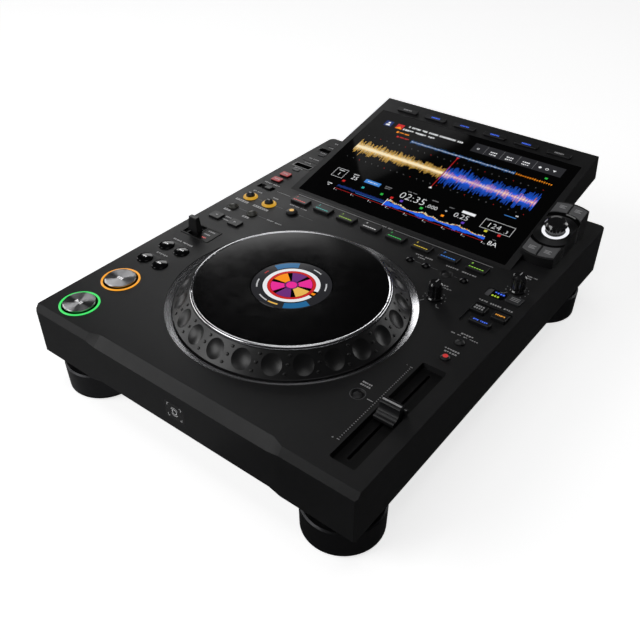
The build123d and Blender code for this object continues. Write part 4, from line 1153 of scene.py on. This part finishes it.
def add_world():
    world = bpy.data.worlds.new("studio")
    world.use_nodes = True
    world.node_tree.nodes["Background"].inputs[0].default_value = (0.02, 0.02, 0.0205, 1)
    scene.world = world


def area_light(name, place, turn, width, height, radiance, diffuse):
    """A rectangular light that the camera doesn't see; without diffuse it only shows in gloss."""
    light = bpy.data.lights.new(name, "AREA")
    light.shape = "RECTANGLE"
    light.size, light.size_y = width, height
    light.energy = radiance * pi * width * height
    obj = new_object(name, light)
    obj.location = place
    obj.rotation_mode = "QUATERNION"
    obj.rotation_quaternion = turn
    obj.visible_camera = False
    obj.visible_diffuse = diffuse


def softbox(name, place, target, width, height, radiance, diffuse=False):
    """A light at a place that faces a target."""
    back = (Vector(place) - Vector(target)).normalized()
    area_light(name, place, back.to_track_quat("Z", "Y"), width, height, radiance, diffuse)


def card(name, a, b, drop, radiance):
    """A glowing card that hangs from the edge a-b and faces the player."""
    a, b, drop = at(*a), at(*b), Vector(drop)
    edge = (b - a).normalized()
    down = (drop - edge * drop.dot(edge)).normalized()
    centre = (a + b) / 2 + down * drop.length / 2
    back = edge.cross(down)
    if back.dot(centre - at(0, 200, 20)) < 0:
        back = -back
    turn = Matrix((edge, back.cross(edge), back)).transposed().to_quaternion()
    area_light(name, centre, turn, (b - a).length, drop.length, radiance, False)


JOG_TOP = at(*JOG, 16)


def from_jog(azimuth, elevation, distance):
    """A place seen from the jog wheel: azimuth in degrees left of straight back."""
    a, e = radians(azimuth), radians(elevation)
    return JOG_TOP + Vector((-sin(a) * cos(e), cos(a) * cos(e), sin(e))) * distance


def sheen_on_glass():
    """A graded card behind the display, whose upper edge shows in its glass: each layer starts lower."""
    edge = [(-184, 694, 356), (-284, 536, 338)]
    for k, radiance in enumerate((0.12, 0.12, 0.16, 0.18, 0.2)):
        a, b = ((x, y, z - 8 * k) for x, y, z in edge)
        card("card_sheen_" + str(k), a, b, (0, 0, -0.22 + 0.008 * k), radiance)


def sheen_on_platter():
    """A graded box further off, whose upper edge shows in the platter; its sides are seen from the wheel."""
    left, low, away = 50.0, 26.0, 1.3
    for k, radiance in enumerate((0.2, 0.35, 0.5, 0.6, 0.6, 0.5)):
        right, high = 35.0 + 0.9 * k, 33.6 - 0.45 * k
        width = 2 * away * tan(radians(left - right) / 2) * cos(radians(30))
        height = 2 * away * tan(radians(high - low) / 2)
        place = from_jog((left + right) / 2, (high + low) / 2, away)
        softbox("box_platter_" + str(k), place, JOG_TOP, width, height, radiance)


def add_lights():
    sheen_on_glass()
    sheen_on_platter()
    softbox("box_back_left", from_jog(50, 19.5, 1.3), JOG_TOP, 0.54, 0.4, 3.2)
    # soft lights for the back and the left side, which the photograph doesn't show
    softbox("box_rear", (0.7, 1.7, 0.55), (0, 0, 0.06), 1.5, 0.5, 2.6)
    softbox("box_left", (-1.8, -0.5, 0.45), (0, 0, 0.06), 1.5, 0.5, 2.6)
    softbox("box_top", (0.0, 0.0, 2.2), (0, 0, 0), 1.5, 1.5, 1.2, diffuse=True)
    softbox("box_front", (-1.3, -1.8, 1.5), (0, 0, 0.1), 1.6, 1.2, 3.6, diffuse=True)
    # the pale floor's reflection low on the front, since the floor itself doesn't show in gloss
    softbox("card_floor", (-0.24, -0.38, 0.004), (-0.24, -0.38, 1.0), 0.5, 0.34, 0.14)


def add_camera():
    """The photograph's viewing angle: azimuth right of the front, elevation, roll."""
    azimuth, elevation, roll = radians(37.54), radians(37.73), radians(0.05)
    camera = bpy.data.cameras.new("camera")
    camera.sensor_width = 36.0
    camera.lens = 43.23
    camera.clip_start, camera.clip_end = 0.01, 60
    obj = new_object("camera", camera)
    obj.location = (0.33611, -0.49972, 0.46458)
    back = Vector((sin(azimuth) * cos(elevation), -cos(azimuth) * cos(elevation), sin(elevation)))
    right = Vector((cos(azimuth), sin(azimuth), 0))
    turn = Matrix((right, back.cross(right), back)).transposed() @ Matrix.Rotation(roll, 3, "Z")
    obj.rotation_mode = "QUATERNION"
    obj.rotation_quaternion = turn.to_quaternion()
    scene.camera = obj
    scene.view_settings.view_transform = "Standard"


add_floor()
add_world()
add_lights()
add_camera()
